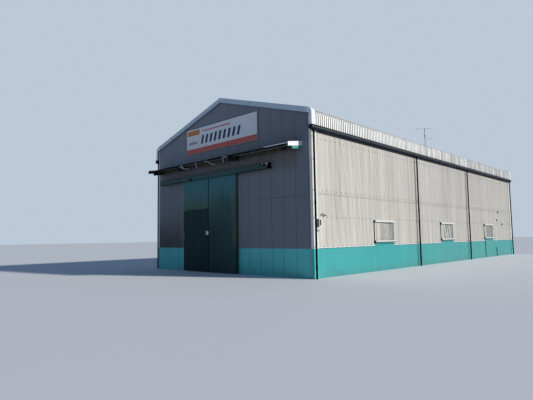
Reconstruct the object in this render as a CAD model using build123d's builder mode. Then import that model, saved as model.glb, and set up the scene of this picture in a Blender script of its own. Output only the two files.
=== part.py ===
from build123d import *
import os
from math import atan, cos, degrees, pi, sin

# Steel-framed warehouse: one storey, gable roof of 3 in 10, ribbed steel
# cladding, a pair of sliding doors under a rail cover, a canopy and a blank
# sign board on the gable. Millimetres. X runs across the front, Y runs back
# along the building, +Z is up. The origin is on the ground at the middle of
# the wall footprint.

# ---------------------------------------------------------------- sizes
WIDTH = 9700.0            # outside of the side cladding ribs
LENGTH = 23640.0          # outside of the end cladding panels
RIB = 12.0                # rib height on the side cladding
PANEL = 8.0               # thickness of the flat end panels
CLAD = 30.0               # cladding with its backing board
X_OUT = WIDTH / 2 - RIB   # 4838, flat of the side cladding
X_IN = X_OUT - CLAD       # 4808
Y_OUT = LENGTH / 2 - PANEL  # 11812, flat of the end cladding
Y_IN = Y_OUT - CLAD       # 11782

SLAB_T = 120.0            # floor above the ground
DADO_H = 1040.0           # coloured band at the foot of the walls
SIDE_TOP = 5900.0         # side cladding stops behind the rounded eave
FRONT_SPLIT = 4900.0      # joint of the front wall and the gable above it

# roof
PITCH = 0.3
A = atan(PITCH)
CA, SA = cos(A), sin(A)
EAVE_R = 200.0            # outer bend radius of the roof sheet at the eave
ARC_X, ARC_Z = 4725.0, 5850.0
ROOF_RIB = 25.0           # rib height of the roof sheet
ROOF_T = 25.0             # sheet with its lining
EAVE_BOTTOM = 5425.0
CREST0 = ARC_Z + EAVE_R * CA + PITCH * (ARC_X + EAVE_R * SA)  # ridge, on the ribs
ROOF_END = 11885.0        # the sheet ends inside the verge trim
PAN0 = CREST0 - ROOF_RIB / CA
SOFFIT0 = CREST0 - (ROOF_RIB + ROOF_T) / CA

# frames
BAY = LENGTH / 7
END_FRAME = 11630.0
FRAMES = [-END_FRAME] + [-LENGTH / 2 + BAY * k for k in range(1, 7)] + [END_FRAME]
GIRT_D, GIRT_H, GIRT_T = 100.0, 50.0, 3.2
GIRT_Z = [1125.0, 2140.0, 3110.0, 4050.0, 4995.0]
COL_D, COL_B, COL_TF, COL_TW = 200.0, 100.0, 8.0, 6.0
COL_X = X_IN - GIRT_D - COL_D / 2   # column centre line

# windows, one in every second bay
WIN_MID = -105.0
WIN_Y = [WIN_MID - 2 * BAY, WIN_MID, WIN_MID + 2 * BAY]
WIN_W, WIN_Z0, WIN_Z1 = 1690.0, 1150.0, 2115.0
HOLE_W, HOLE_Z1 = 1650.0, 2100.0

# doors
DOOR_X = -770.0           # meeting line of the two leaves
LEAF_W, LEAF_GAP = 1800.0, 10.0
LEAF_Z0, LEAF_Z1 = 30.0, 4130.0
LEAF_T = 45.0
LEAF_Y = -11925.0         # front face of the leaves
OPEN_X0, OPEN_X1, OPEN_Z1 = -2540.0, 1000.0, 4100.0
POST = 100.0
RAIL_X0, RAIL_X1 = -4430.0, 2910.0
COVER_X1 = 2500.0         # the front of the cover is gone past this point

# gutters and downpipes
GUT_X0, GUT_X1 = 4852.0, 5000.0
GUT_Z0, GUT_Z1 = 5270.0, 5425.0
GUT_T = 4.0
GUT_END = 11930.0
PIPE_R = 38.0
PIPE_X = 4957.0
PIPE_Y = [-11785.0, -3640.0, 3060.0, 11550.0]

# canopy
CAN_X0, CAN_X1 = -4542.0, 4456.0
CAN_Y = -12612.0
CAN_WALL_Z, CAN_EDGE_Z = 4855.0, 4727.0
CAN_LIP_Z = 4672.0        # underside of the front lip
CAN_ARMS = [-4506.0, -2530.0, 1005.0, 4391.0]
ARM_Y = -12350.0

# sign board
SIGN_X0, SIGN_X1, SIGN_Z0, SIGN_Z1 = -2420.0, 2230.0, 5320.0, 6480.0


def crest(x):
    return CREST0 - PITCH * abs(x)


def soffit(x):
    return SOFFIT0 - PITCH * abs(x)


os.makedirs("parts", exist_ok=True)

# ---------------------------------------------------------------- floor
with BuildPart() as floor_slab:
    with BuildSketch(Plane.XY):
        Rectangle(2 * X_IN, 2 * Y_IN)
        with Locations(((OPEN_X0 + OPEN_X1) / 2, -(Y_IN + Y_OUT) / 2)):
            Rectangle(OPEN_X1 - OPEN_X0, CLAD)
    extrude(amount=SLAB_T)
floor_slab.part.label = "floor_slab"
export_step(floor_slab.part, "parts/floor_slab.step")

# ---------------------------------------------------------------- end walls
with BuildPart() as front_wall_left:
    with BuildSketch(Plane.XY.offset(DADO_H)):
        with Locations(((-X_OUT + OPEN_X0) / 2, -(Y_IN + Y_OUT) / 2)):
            Rectangle(OPEN_X0 + X_OUT, CLAD)
    extrude(amount=FRONT_SPLIT - DADO_H)
front_wall_left.part.label = "front_wall_left"
export_step(front_wall_left.part, "parts/front_wall_left.step")

with BuildPart() as front_wall_right:
    with BuildSketch(Plane.XY.offset(DADO_H)):
        with Locations(((X_OUT + OPEN_X1) / 2, -(Y_IN + Y_OUT) / 2)):
            Rectangle(X_OUT - OPEN_X1, CLAD)
    extrude(amount=FRONT_SPLIT - DADO_H)
front_wall_right.part.label = "front_wall_right"
export_step(front_wall_right.part, "parts/front_wall_right.step")

with BuildPart() as front_wall_over_door:
    with BuildSketch(Plane.XY.offset(OPEN_Z1)):
        with Locations(((OPEN_X0 + OPEN_X1) / 2, -(Y_IN + Y_OUT) / 2)):
            Rectangle(OPEN_X1 - OPEN_X0, CLAD)
    extrude(amount=FRONT_SPLIT - OPEN_Z1)
front_wall_over_door.part.label = "front_wall_over_door"
export_step(front_wall_over_door.part, "parts/front_wall_over_door.step")

with BuildPart() as front_gable:
    with BuildSketch(Plane.XZ.offset(Y_IN)):
        with BuildLine():
            Polyline(
                (-X_OUT, FRONT_SPLIT), (X_OUT, FRONT_SPLIT), (X_OUT, SIDE_TOP),
                (4725, soffit(4725)), (0, soffit(0)), (-4725, soffit(4725)),
                (-X_OUT, SIDE_TOP), close=True,
            )
        make_face()
    extrude(amount=CLAD)
front_gable.part.label = "front_gable"
export_step(front_gable.part, "parts/front_gable.step")

with BuildPart() as back_wall:
    with BuildSketch(Plane.XZ.offset(-Y_OUT)):
        with BuildLine():
            Polyline(
                (-X_OUT, DADO_H), (X_OUT, DADO_H), (X_OUT, SIDE_TOP),
                (4725, soffit(4725)), (0, soffit(0)), (-4725, soffit(4725)),
                (-X_OUT, SIDE_TOP), close=True,
            )
        make_face()
    extrude(amount=CLAD)
back_wall.part.label = "back_wall"
export_step(back_wall.part, "parts/back_wall.step")

# ---------------------------------------------------------------- side walls
# Each window hole is cut down to the dado, which rises to the sill there.
with BuildPart() as side_wall_right:
    with BuildSketch(Plane.YZ.offset(X_IN)):
        with Locations((0, (DADO_H + SIDE_TOP) / 2)):
            Rectangle(2 * Y_IN, SIDE_TOP - DADO_H)
        with Locations(*[(y, (DADO_H + HOLE_Z1) / 2) for y in WIN_Y]):
            Rectangle(HOLE_W, HOLE_Z1 - DADO_H, mode=Mode.SUBTRACT)
    extrude(amount=CLAD)
side_wall_right.part.label = "side_wall_right"
export_step(side_wall_right.part, "parts/side_wall_right.step")

with BuildPart() as side_wall_left:
    with BuildSketch(Plane.YZ.offset(-X_OUT)):
        with Locations((0, (DADO_H + SIDE_TOP) / 2)):
            Rectangle(2 * Y_IN, SIDE_TOP - DADO_H)
        with Locations(*[(y, (DADO_H + HOLE_Z1) / 2) for y in WIN_Y]):
            Rectangle(HOLE_W, HOLE_Z1 - DADO_H, mode=Mode.SUBTRACT)
    extrude(amount=CLAD)
side_wall_left.part.label = "side_wall_left"
export_step(side_wall_left.part, "parts/side_wall_left.step")

# ---------------------------------------------------------------- dado
with BuildPart() as dado_right:
    with BuildSketch(Plane.YZ.offset(X_IN)):
        with Locations((0, DADO_H / 2)):
            Rectangle(2 * Y_IN, DADO_H)
        with Locations(*[(y, WIN_Z0 / 2) for y in WIN_Y]):
            Rectangle(HOLE_W, WIN_Z0)
    extrude(amount=CLAD)
dado_right.part.label = "dado_right"
export_step(dado_right.part, "parts/dado_right.step")

with BuildPart() as dado_left:
    with BuildSketch(Plane.YZ.offset(-X_OUT)):
        with Locations((0, DADO_H / 2)):
            Rectangle(2 * Y_IN, DADO_H)
        with Locations(*[(y, WIN_Z0 / 2) for y in WIN_Y]):
            Rectangle(HOLE_W, WIN_Z0)
    extrude(amount=CLAD)
dado_left.part.label = "dado_left"
export_step(dado_left.part, "parts/dado_left.step")

with BuildPart() as dado_front:
    with BuildSketch(Plane.XY):
        with Locations(((-X_OUT + OPEN_X0) / 2, -(Y_IN + Y_OUT) / 2)):
            Rectangle(OPEN_X0 + X_OUT, CLAD)
        with Locations(((X_OUT + OPEN_X1) / 2, -(Y_IN + Y_OUT) / 2)):
            Rectangle(X_OUT - OPEN_X1, CLAD)
    extrude(amount=DADO_H)
dado_front.part.label = "dado_front"
export_step(dado_front.part, "parts/dado_front.step")

with BuildPart() as dado_back:
    with BuildSketch(Plane.XY):
        with Locations((0, (Y_IN + Y_OUT) / 2)):
            Rectangle(2 * X_OUT, CLAD)
    extrude(amount=DADO_H)
dado_back.part.label = "dado_back"
export_step(dado_back.part, "parts/dado_back.step")

# ---------------------------------------------------------------- frames
# H columns, their tops cut to the underside of the rafters.
RAFTER_TOP = CREST0 - (ROOF_RIB + ROOF_T + GIRT_D) / CA
RAFTER_LOW = RAFTER_TOP - COL_D / CA
with BuildPart() as portal_columns:
    with BuildSketch(Plane.XY.offset(SLAB_T)):
        spots = [(sx * COL_X, y) for sx in (-1, 1) for y in FRAMES]
        with Locations(*spots):
            Rectangle(COL_D - COL_TF, COL_TW)
        for dx in (-1, 1):
            with Locations(*[(x + dx * (COL_D - COL_TF) / 2, y) for x, y in spots]):
                Rectangle(COL_TF, COL_B)
    extrude(amount=6200 - SLAB_T)
    for sx in (-1, 1):
        split(
            bisect_by=Plane(origin=(0, 0, RAFTER_LOW), z_dir=(sx * SA, 0, CA)),
            keep=Keep.BOTTOM,
        )
portal_columns.part.label = "portal_columns"
export_step(portal_columns.part, "parts/portal_columns.step")

# I rafters, the two halves of a frame bolted together at the ridge.
RAFTER_X = COL_X + COL_D / 2
with BuildPart() as portal_rafters:
    for y in FRAMES:
        for top, low, half in (
            (RAFTER_TOP, RAFTER_TOP - COL_TF / CA, COL_B / 2),
            (RAFTER_TOP - COL_TF / CA, RAFTER_LOW + COL_TF / CA, COL_TW / 2),
            (RAFTER_LOW + COL_TF / CA, RAFTER_LOW, COL_B / 2),
        ):
            with BuildSketch(Plane.XZ.offset(-y)):
                for sx in (-1, 1):
                    with BuildLine():
                        Polyline(
                            (sx, top - PITCH),
                            (sx * RAFTER_X, top - PITCH * RAFTER_X),
                            (sx * RAFTER_X, low - PITCH * RAFTER_X),
                            (sx, low - PITCH), close=True,
                        )
                    make_face()
            extrude(amount=half, both=True)
portal_rafters.part.label = "portal_rafters"
export_step(portal_rafters.part, "parts/portal_rafters.step")

# C purlins on the rafters.
PURLIN_X = [170.0, 1080.0, 1990.0, 2900.0, 3810.0, 4640.0]
with BuildPart() as purlins:
    with BuildSketch(Plane.XZ):
        for sx in (-1, 1):
            for x in PURLIN_X:
                z = soffit(x) - GIRT_D / 2 / CA
                with Locations(Location((sx * x, z, 0), (0, 0, -sx * degrees(A)))):
                    Rectangle(GIRT_H, GIRT_D)
                shift = GIRT_T
                with Locations(
                    Location(
                        (sx * x + shift * CA, z - sx * shift * SA, 0),
                        (0, 0, -sx * degrees(A)),
                    )
                ):
                    Rectangle(GIRT_H, GIRT_D - 2 * GIRT_T, mode=Mode.SUBTRACT)
    extrude(amount=Y_IN, both=True)
purlins.part.label = "purlins"
export_step(purlins.part, "parts/purlins.step")

# C girts that carry the cladding, lengthwise and across the ends.
with BuildPart() as side_girts:
    with BuildSketch(Plane.XZ):
        for sx in (-1, 1):
            with Locations(*[(sx * (X_IN - GIRT_D / 2), z) for z in GIRT_Z]):
                Rectangle(GIRT_D, GIRT_H)
            with Locations(*[(sx * (X_IN - GIRT_D / 2), z - GIRT_T) for z in GIRT_Z]):
                Rectangle(GIRT_D - 2 * GIRT_T, GIRT_H, mode=Mode.SUBTRACT)
    extrude(amount=Y_IN, both=True)
side_girts.part.label = "side_girts"
export_step(side_girts.part, "parts/side_girts.step")

with BuildPart() as end_girts:
    for x0, x1, levels, sy in (
        (-4700, OPEN_X0 - POST, GIRT_Z[:4], -1),
        (OPEN_X1 + POST, 4700, GIRT_Z[:4], -1),
        (-4700, 4700, GIRT_Z[4:], -1),
        (-4700, 4700, GIRT_Z, 1),
    ):
        with BuildSketch(Plane.YZ.offset(x0)):
            with Locations(*[(sy * (Y_IN - GIRT_D / 2), z) for z in levels]):
                Rectangle(GIRT_D, GIRT_H)
            with Locations(*[(sy * (Y_IN - GIRT_D / 2), z - GIRT_T) for z in levels]):
                Rectangle(GIRT_D - 2 * GIRT_T, GIRT_H, mode=Mode.SUBTRACT)
        extrude(amount=x1 - x0)
end_girts.part.label = "end_girts"
export_step(end_girts.part, "parts/end_girts.step")

# Posts and head of the doorway, set apart so that each is a plain bar.
with BuildPart() as door_frame:
    y_mid = -(Y_IN - POST / 2)
    with Locations(
        (OPEN_X0 - POST / 2, y_mid, (SLAB_T + OPEN_Z1 + POST) / 2),
        (OPEN_X1 + POST / 2, y_mid, (SLAB_T + OPEN_Z1 + POST) / 2),
    ):
        Box(POST, POST, OPEN_Z1 + POST - SLAB_T)
    with Locations(((OPEN_X0 + OPEN_X1) / 2, y_mid, OPEN_Z1 + POST / 2)):
        Box(OPEN_X1 - OPEN_X0 - 2, POST, POST)
door_frame.part.label = "door_frame"
export_step(door_frame.part, "parts/door_frame.step")

# ---------------------------------------------------------------- roof
# One sheet a side, from the ridge round the eave bend down into the gutter.
with BuildPart() as roof_right:
    with BuildSketch(Plane.XZ):
        with BuildLine():
            r_out, r_in = EAVE_R - ROOF_RIB, EAVE_R - ROOF_RIB - ROOF_T
            a1 = CenterArc((ARC_X, ARC_Z), r_out, 0, 90 - degrees(A))
            a2 = CenterArc((ARC_X, ARC_Z), r_in, 0, 90 - degrees(A))
            Line(a1 @ 1, (0, PAN0))
            Line((0, PAN0), (0, SOFFIT0))
            Line((0, SOFFIT0), a2 @ 1)
            Line(a2 @ 0, (ARC_X + r_in, EAVE_BOTTOM))
            Line((ARC_X + r_in, EAVE_BOTTOM), (ARC_X + r_out, EAVE_BOTTOM))
            Line((ARC_X + r_out, EAVE_BOTTOM), a1 @ 0)
        make_face()
    extrude(amount=ROOF_END, both=True)
roof_right.part.label = "roof_right"
export_step(roof_right.part, "parts/roof_right.step")

with BuildPart() as roof_left:
    add(roof_right.part.mirror(Plane.YZ))
roof_left.part.label = "roof_left"
export_step(roof_left.part, "parts/roof_left.step")

VERGE_IN = 11685.0
VERGE_OUT = 11900.0
with BuildPart() as ridge_cap:
    with BuildSketch(Plane.XZ):
        with BuildLine():
            Polyline(
                (-220, crest(220)), (0, crest(0)), (220, crest(220)),
                (220, crest(220) + 22), (0, crest(0) + 30), (-220, crest(220) + 22),
                close=True,
            )
        make_face()
    extrude(amount=VERGE_IN - 5, both=True)
ridge_cap.part.label = "ridge_cap"
export_step(ridge_cap.part, "parts/ridge_cap.step")

# Verge flashing along each slope: a leg over the ribs and a deep front face.
VERGE_TOP0 = CREST0 + 49
VERGE_FACE = 205.0
with BuildPart() as verge_trims:
    for sx in (-1, 1):
        for sy in (-1, 1):
            x0, x1 = sx * 1.5, sx * (ARC_X - 2)
            leg = Plane.XZ.offset(VERGE_OUT if sy < 0 else -VERGE_IN)
            with BuildSketch(leg):
                with BuildLine():
                    Polyline(
                        (x0, crest(x0)), (x1, crest(x1)),
                        (x1, VERGE_TOP0 - PITCH * abs(x1)),
                        (x0, VERGE_TOP0 - PITCH * abs(x0)), close=True,
                    )
                make_face()
            extrude(amount=-(VERGE_OUT - VERGE_IN))
            face = Plane.XZ.offset(VERGE_OUT if sy < 0 else 8 - VERGE_OUT)
            with BuildSketch(face):
                with BuildLine():
                    Polyline(
                        (x0, VERGE_TOP0 - VERGE_FACE - PITCH * abs(x0)),
                        (x1, VERGE_TOP0 - VERGE_FACE - PITCH * abs(x1)),
                        (x1, VERGE_TOP0 - PITCH * abs(x1)),
                        (x0, VERGE_TOP0 - PITCH * abs(x0)), close=True,
                    )
                make_face()
            extrude(amount=-8)
verge_trims.part.label = "verge_trims"
export_step(verge_trims.part, "parts/verge_trims.step")

# Boxed flashing at each end of the eaves: flat side, closed front.
CAP_R = EAVE_R + 49 * CA  # runs on from the top of the verge leg
CAP_X = ARC_X + CAP_R
CAP_ARC = [
    (ARC_X + CAP_R * sin(A + k * (pi / 2 - A) / 7), ARC_Z + CAP_R * cos(A + k * (pi / 2 - A) / 7))
    for k in range(8)
]
with BuildPart() as eave_end_caps:
    for sx in (-1, 1):
        for sy in (-1, 1):
            leg = Plane.XZ.offset(VERGE_OUT if sy < 0 else -VERGE_IN)
            with BuildSketch(leg):
                with BuildLine():
                    Polyline(
                        (sx * ARC_X, ARC_Z), (sx * ARC_X, VERGE_TOP0 - PITCH * ARC_X),
                        *[(sx * x, z) for x, z in CAP_ARC],
                        (sx * CAP_X, EAVE_BOTTOM), (sx * ARC_X, EAVE_BOTTOM),
                        close=True,
                    )
                make_face()
                with Locations((sx * ARC_X, ARC_Z)):
                    Circle(EAVE_R, mode=Mode.SUBTRACT)
                with Locations((sx * (ARC_X + EAVE_R / 2), (ARC_Z + EAVE_BOTTOM) / 2)):
                    Rectangle(EAVE_R, ARC_Z - EAVE_BOTTOM, mode=Mode.SUBTRACT)
                with BuildLine():
                    Polyline(
                        (sx * (ARC_X - 20), ARC_Z), (sx * (ARC_X - 20), crest(ARC_X - 20)),
                        (sx * (ARC_X + EAVE_R * SA), crest(ARC_X + EAVE_R * SA)),
                        (sx * (ARC_X + EAVE_R * SA), ARC_Z), close=True,
                    )
                make_face(mode=Mode.SUBTRACT)
            extrude(amount=-(VERGE_OUT - VERGE_IN))
            face = Plane.XZ.offset(VERGE_OUT if sy < 0 else 8 - VERGE_OUT)
            with BuildSketch(face):
                with BuildLine():
                    Polyline(
                        (sx * ARC_X, VERGE_TOP0 - VERGE_FACE - PITCH * ARC_X),
                        (sx * ARC_X, VERGE_TOP0 - PITCH * ARC_X),
                        *[(sx * x, z) for x, z in CAP_ARC],
                        (sx * CAP_X, EAVE_BOTTOM), (sx * 4850, EAVE_BOTTOM),
                        (sx * 4850, VERGE_TOP0 - VERGE_FACE - PITCH * 4850),
                        close=True,
                    )
                make_face()
            extrude(amount=-8)
eave_end_caps.part.label = "eave_end_caps"
export_step(eave_end_caps.part, "parts/eave_end_caps.step")

# Angle trims on the four corners, below the gutters, with the end leg run up.
TRIM_Z1 = 5255.0
TRIM_Y0 = 11500.0         # the side leg is a wide flat strip
with BuildPart() as corner_trims:
    with BuildSketch(Plane.XY):
        for sx in (-1, 1):
            for sy in (-1, 1):
                with Locations((sx * (X_OUT + 9), sy * (TRIM_Y0 + 11826) / 2)):
                    Rectangle(18, 11826 - TRIM_Y0)
                with Locations((sx * (4770 + 4856) / 2, sy * (Y_OUT + 7))):
                    Rectangle(86, 14)
    extrude(amount=TRIM_Z1)
    with BuildSketch(Plane.XY.offset(TRIM_Z1)):
        for sx in (-1, 1):
            for sy in (-1, 1):
                with Locations((sx * (4770 + 4848) / 2, sy * (Y_OUT + 7))):
                    Rectangle(78, 14)
    extrude(amount=5862 - TRIM_Z1)
corner_trims.part.label = "corner_trims"
export_step(corner_trims.part, "parts/corner_trims.step")

# ---------------------------------------------------------------- gutters
with BuildPart() as gutter_right:
    with Locations(((GUT_X0 + GUT_X1) / 2, 0, (GUT_Z0 + GUT_Z1) / 2)):
        Box(GUT_X1 - GUT_X0, 2 * GUT_END, GUT_Z1 - GUT_Z0)
    with Locations(((GUT_X0 + GUT_X1) / 2, 0, (GUT_Z0 + GUT_Z1) / 2 + GUT_T)):
        Box(
            GUT_X1 - GUT_X0 - 2 * GUT_T, 2 * (GUT_END - GUT_T), GUT_Z1 - GUT_Z0,
            mode=Mode.SUBTRACT,
        )
gutter_right.part.label = "gutter_right"
export_step(gutter_right.part, "parts/gutter_right.step")

with BuildPart() as gutter_left:
    add(gutter_right.part.mirror(Plane.YZ))
gutter_left.part.label = "gutter_left"
export_step(gutter_left.part, "parts/gutter_left.step")

with BuildPart() as downpipes_right:
    with BuildSketch(Plane.XY):
        with Locations(*[(PIPE_X, y) for y in PIPE_Y]):
            Circle(PIPE_R)
    extrude(amount=GUT_Z0)
downpipes_right.part.label = "downpipes_right"
export_step(downpipes_right.part, "parts/downpipes_right.step")

with BuildPart() as downpipes_left:
    add(downpipes_right.part.mirror(Plane.YZ))
downpipes_left.part.label = "downpipes_left"
export_step(downpipes_left.part, "parts/downpipes_left.step")

# ---------------------------------------------------------------- windows
# A face frame on the cladding with a deep head and sill, a lining through it,
# and two sashes that pass each other: the outer one towards the front of the
# building.
WX = X_OUT
JAMB_OUT, LEDGE_OUT = 52.0, 92.0
HEAD_H, SILL_H = 80.0, 55.0
IN_W, IN_Z0, IN_Z1 = 1600.0, 1195.0, 2070.0
SASH = 38.0
with BuildPart() as window_frames_right:
    for y in WIN_Y:
        zc, zh = (WIN_Z0 + WIN_Z1) / 2, WIN_Z1 - WIN_Z0
        ic, ih = (IN_Z0 + IN_Z1) / 2, IN_Z1 - IN_Z0
        with BuildSketch(Plane.YZ.offset(WX)):
            with Locations((y, zc)):
                Rectangle(WIN_W, zh)
            with Locations((y, ic)):
                Rectangle(IN_W, ih, mode=Mode.SUBTRACT)
        extrude(amount=JAMB_OUT)
        with Locations((WX + LEDGE_OUT / 2, y, WIN_Z1 - HEAD_H / 2)):
            Box(LEDGE_OUT, WIN_W, HEAD_H)
        with Locations((WX + LEDGE_OUT / 2, y, WIN_Z0 + SILL_H / 2)):
            Box(LEDGE_OUT, WIN_W, SILL_H)
        with BuildSketch(Plane.YZ.offset(WX - 58)):
            with Locations((y, (WIN_Z0 + HOLE_Z1) / 2)):
                Rectangle(HOLE_W, HOLE_Z1 - WIN_Z0)
            with Locations((y, ic)):
                Rectangle(IN_W, ih, mode=Mode.SUBTRACT)
        extrude(amount=58)
        for plane_x, sy in ((WX - 4, -1), (WX - 30, 1)):
            with BuildSketch(Plane.YZ.offset(plane_x)):
                with Locations((y + sy * (IN_W / 4 - SASH / 4), ic)):
                    Rectangle(IN_W / 2 + SASH / 2, ih)
                    Rectangle(IN_W / 2 - SASH * 1.5, ih - 2 * SASH, mode=Mode.SUBTRACT)
            extrude(amount=22)
window_frames_right.part.label = "window_frames_right"
export_step(window_frames_right.part, "parts/window_frames_right.step")

with BuildPart() as window_frames_left:
    add(window_frames_right.part.mirror(Plane.YZ))
window_frames_left.part.label = "window_frames_left"
export_step(window_frames_left.part, "parts/window_frames_left.step")

with BuildPart() as window_glass_right:
    for y in WIN_Y:
        ic, ih = (IN_Z0 + IN_Z1) / 2, IN_Z1 - IN_Z0
        for plane_x, sy in ((WX + 4, -1), (WX - 22, 1)):
            with BuildSketch(Plane.YZ.offset(plane_x)):
                with Locations((y + sy * (IN_W / 4 - SASH / 4), ic)):
                    Rectangle(IN_W / 2 - SASH * 1.5, ih - 2 * SASH)
            extrude(amount=6)
window_glass_right.part.label = "window_glass_right"
export_step(window_glass_right.part, "parts/window_glass_right.step")

with BuildPart() as window_glass_left:
    add(window_glass_right.part.mirror(Plane.YZ))
window_glass_left.part.label = "window_glass_left"
export_step(window_glass_left.part, "parts/window_glass_left.step")

# ---------------------------------------------------------------- canopy
CAN_SLOPE = (CAN_WALL_Z - CAN_EDGE_Z) / (-Y_OUT - CAN_Y)


def can_top(y):
    return CAN_EDGE_Z + CAN_SLOPE * (y - CAN_Y)


with BuildPart() as canopy_roof:
    with BuildSketch(Plane.YZ.offset(CAN_X0 + 12)):
        with BuildLine():
            Polyline(
                (-Y_OUT, can_top(-Y_OUT)), (CAN_Y, can_top(CAN_Y)),
                (CAN_Y, can_top(CAN_Y) - 20), (-Y_OUT, can_top(-Y_OUT) - 20),
                close=True,
            )
        make_face()
    extrude(amount=CAN_X1 - CAN_X0 - 24)
canopy_roof.part.label = "canopy_roof"
export_step(canopy_roof.part, "parts/canopy_roof.step")

# Front fascia and the two end plates, which stand above the sheet. The fascia
# ends 1 mm short of each plate.
with BuildPart() as canopy_trim:
    with BuildSketch(Plane.YZ.offset(CAN_X0 + 13)):
        with BuildLine():
            Polyline(
                (CAN_Y, can_top(CAN_Y) - 20), (CAN_Y + 14, can_top(CAN_Y + 14) - 20),
                (CAN_Y + 14, CAN_LIP_Z), (CAN_Y, CAN_LIP_Z), close=True,
            )
        make_face()
    extrude(amount=CAN_X1 - CAN_X0 - 26)
    for x in (CAN_X0, CAN_X1 - 12):
        with BuildSketch(Plane.YZ.offset(x)):
            with BuildLine():
                Polyline(
                    (-Y_OUT, 4923), (CAN_Y, 4794), (CAN_Y, 4632), (-Y_OUT, 4741),
                    close=True,
                )
            make_face()
        extrude(amount=12)
canopy_trim.part.label = "canopy_trim"
export_step(canopy_trim.part, "parts/canopy_trim.step")

with BuildPart() as canopy_brackets:
    for x in CAN_ARMS:
        with BuildSketch(Plane.YZ.offset(x)):
            with BuildLine():
                Polyline(
                    (-Y_OUT, can_top(-Y_OUT) - 20), (ARM_Y, can_top(ARM_Y) - 20),
                    (ARM_Y, 4566), (-Y_OUT, 4640), close=True,
                )
            make_face()
        extrude(amount=50)
canopy_brackets.part.label = "canopy_brackets"
export_step(canopy_brackets.part, "parts/canopy_brackets.step")

# ---------------------------------------------------------------- sign
with BuildPart() as sign_board:
    with Locations(
        ((SIGN_X0 + SIGN_X1) / 2, -11857, (SIGN_Z0 + SIGN_Z1) / 2),
    ):
        Box(SIGN_X1 - SIGN_X0, 30, SIGN_Z1 - SIGN_Z0)
    with Locations(
        *[
            ((SIGN_X0 + SIGN_X1) / 2 + dx, -(Y_OUT + 11842) / 2, (SIGN_Z0 + SIGN_Z1) / 2)
            for dx in (-1900, 0, 1900)
        ]
    ):
        Box(60, 11842 - Y_OUT, SIGN_Z1 - SIGN_Z0 - 120)
sign_board.part.label = "sign_board"
export_step(sign_board.part, "parts/sign_board.step")

# ---------------------------------------------------------------- door rail
# Slotted track on brackets; the leaves hang from rollers inside it.
RAIL_Y = LEAF_Y + LEAF_T / 2
RAIL_Z0, RAIL_Z1 = 4160.0, 4225.0
with BuildPart() as door_rail:
    with BuildSketch(Plane.YZ.offset(RAIL_X0 + 10)):
        with Locations((RAIL_Y, (RAIL_Z0 + RAIL_Z1) / 2)):
            Rectangle(60, RAIL_Z1 - RAIL_Z0)
            Rectangle(52, RAIL_Z1 - RAIL_Z0 - 8, mode=Mode.SUBTRACT)
        with Locations((RAIL_Y, RAIL_Z0)):
            Rectangle(24, 20, mode=Mode.SUBTRACT)
    extrude(amount=RAIL_X1 - RAIL_X0 - 20)
    back = RAIL_Y + 30
    with Locations(
        *[
            (RAIL_X0 + 160 + k * 890, (back - Y_OUT) / 2, RAIL_Z1 - 16)
            for k in range(9)
        ]
    ):
        Box(50, -Y_OUT - back, 32)
door_rail.part.label = "door_rail"
export_step(door_rail.part, "parts/door_rail.step")

COVER_Y = -12000.0
COVER_Z0, COVER_Z1 = 4060.0, 4300.0
with BuildPart() as door_rail_cover:
    with BuildSketch(Plane.YZ.offset(RAIL_X0)):
        with BuildLine():
            Polyline(
                (-Y_OUT, 4335), (COVER_Y, COVER_Z1), (COVER_Y, COVER_Z0),
                (COVER_Y + 4, COVER_Z0), (COVER_Y + 4, COVER_Z1 - 4),
                (-Y_OUT, 4331), close=True,
            )
        make_face()
    extrude(amount=COVER_X1 - RAIL_X0)
    with BuildSketch(Plane.YZ.offset(COVER_X1)):
        with BuildLine():
            Polyline(
                (-Y_OUT, 4335), (COVER_Y, COVER_Z1), (COVER_Y + 4, COVER_Z1 - 4),
                (-Y_OUT, 4331), close=True,
            )
        make_face()
    extrude(amount=RAIL_X1 - COVER_X1)
door_rail_cover.part.label = "door_rail_cover"
export_step(door_rail_cover.part, "parts/door_rail_cover.step")

# ---------------------------------------------------------------- doors
# Each leaf is a steel skin on a frame of bars.
BAR = 50.0
RAILS_Z = [LEAF_Z0 + BAR / 2, 1050.0, 2080.0, 3110.0, LEAF_Z1 - BAR / 2]
LEFT_X0 = DOOR_X - LEAF_GAP / 2 - LEAF_W
RIGHT_X0 = DOOR_X + LEAF_GAP / 2

with BuildPart() as door_leaf_left:
    with Locations((LEFT_X0 + LEAF_W / 2, LEAF_Y + 2, (LEAF_Z0 + LEAF_Z1) / 2)):
        Box(LEAF_W, 4, LEAF_Z1 - LEAF_Z0)
    mid_y = LEAF_Y + 4 + (LEAF_T - 4) / 2
    with Locations(
        *[
            (LEFT_X0 + x, mid_y, (LEAF_Z0 + LEAF_Z1) / 2)
            for x in (BAR / 2, LEAF_W / 2, LEAF_W - BAR / 2)
        ]
    ):
        Box(BAR, LEAF_T - 4, LEAF_Z1 - LEAF_Z0)
    with Locations(*[(LEFT_X0 + LEAF_W / 2, mid_y, z) for z in RAILS_Z]):
        Box(LEAF_W, LEAF_T - 4, BAR)
door_leaf_left.part.label = "door_leaf_left"
export_step(door_leaf_left.part, "parts/door_leaf_left.step")

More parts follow.
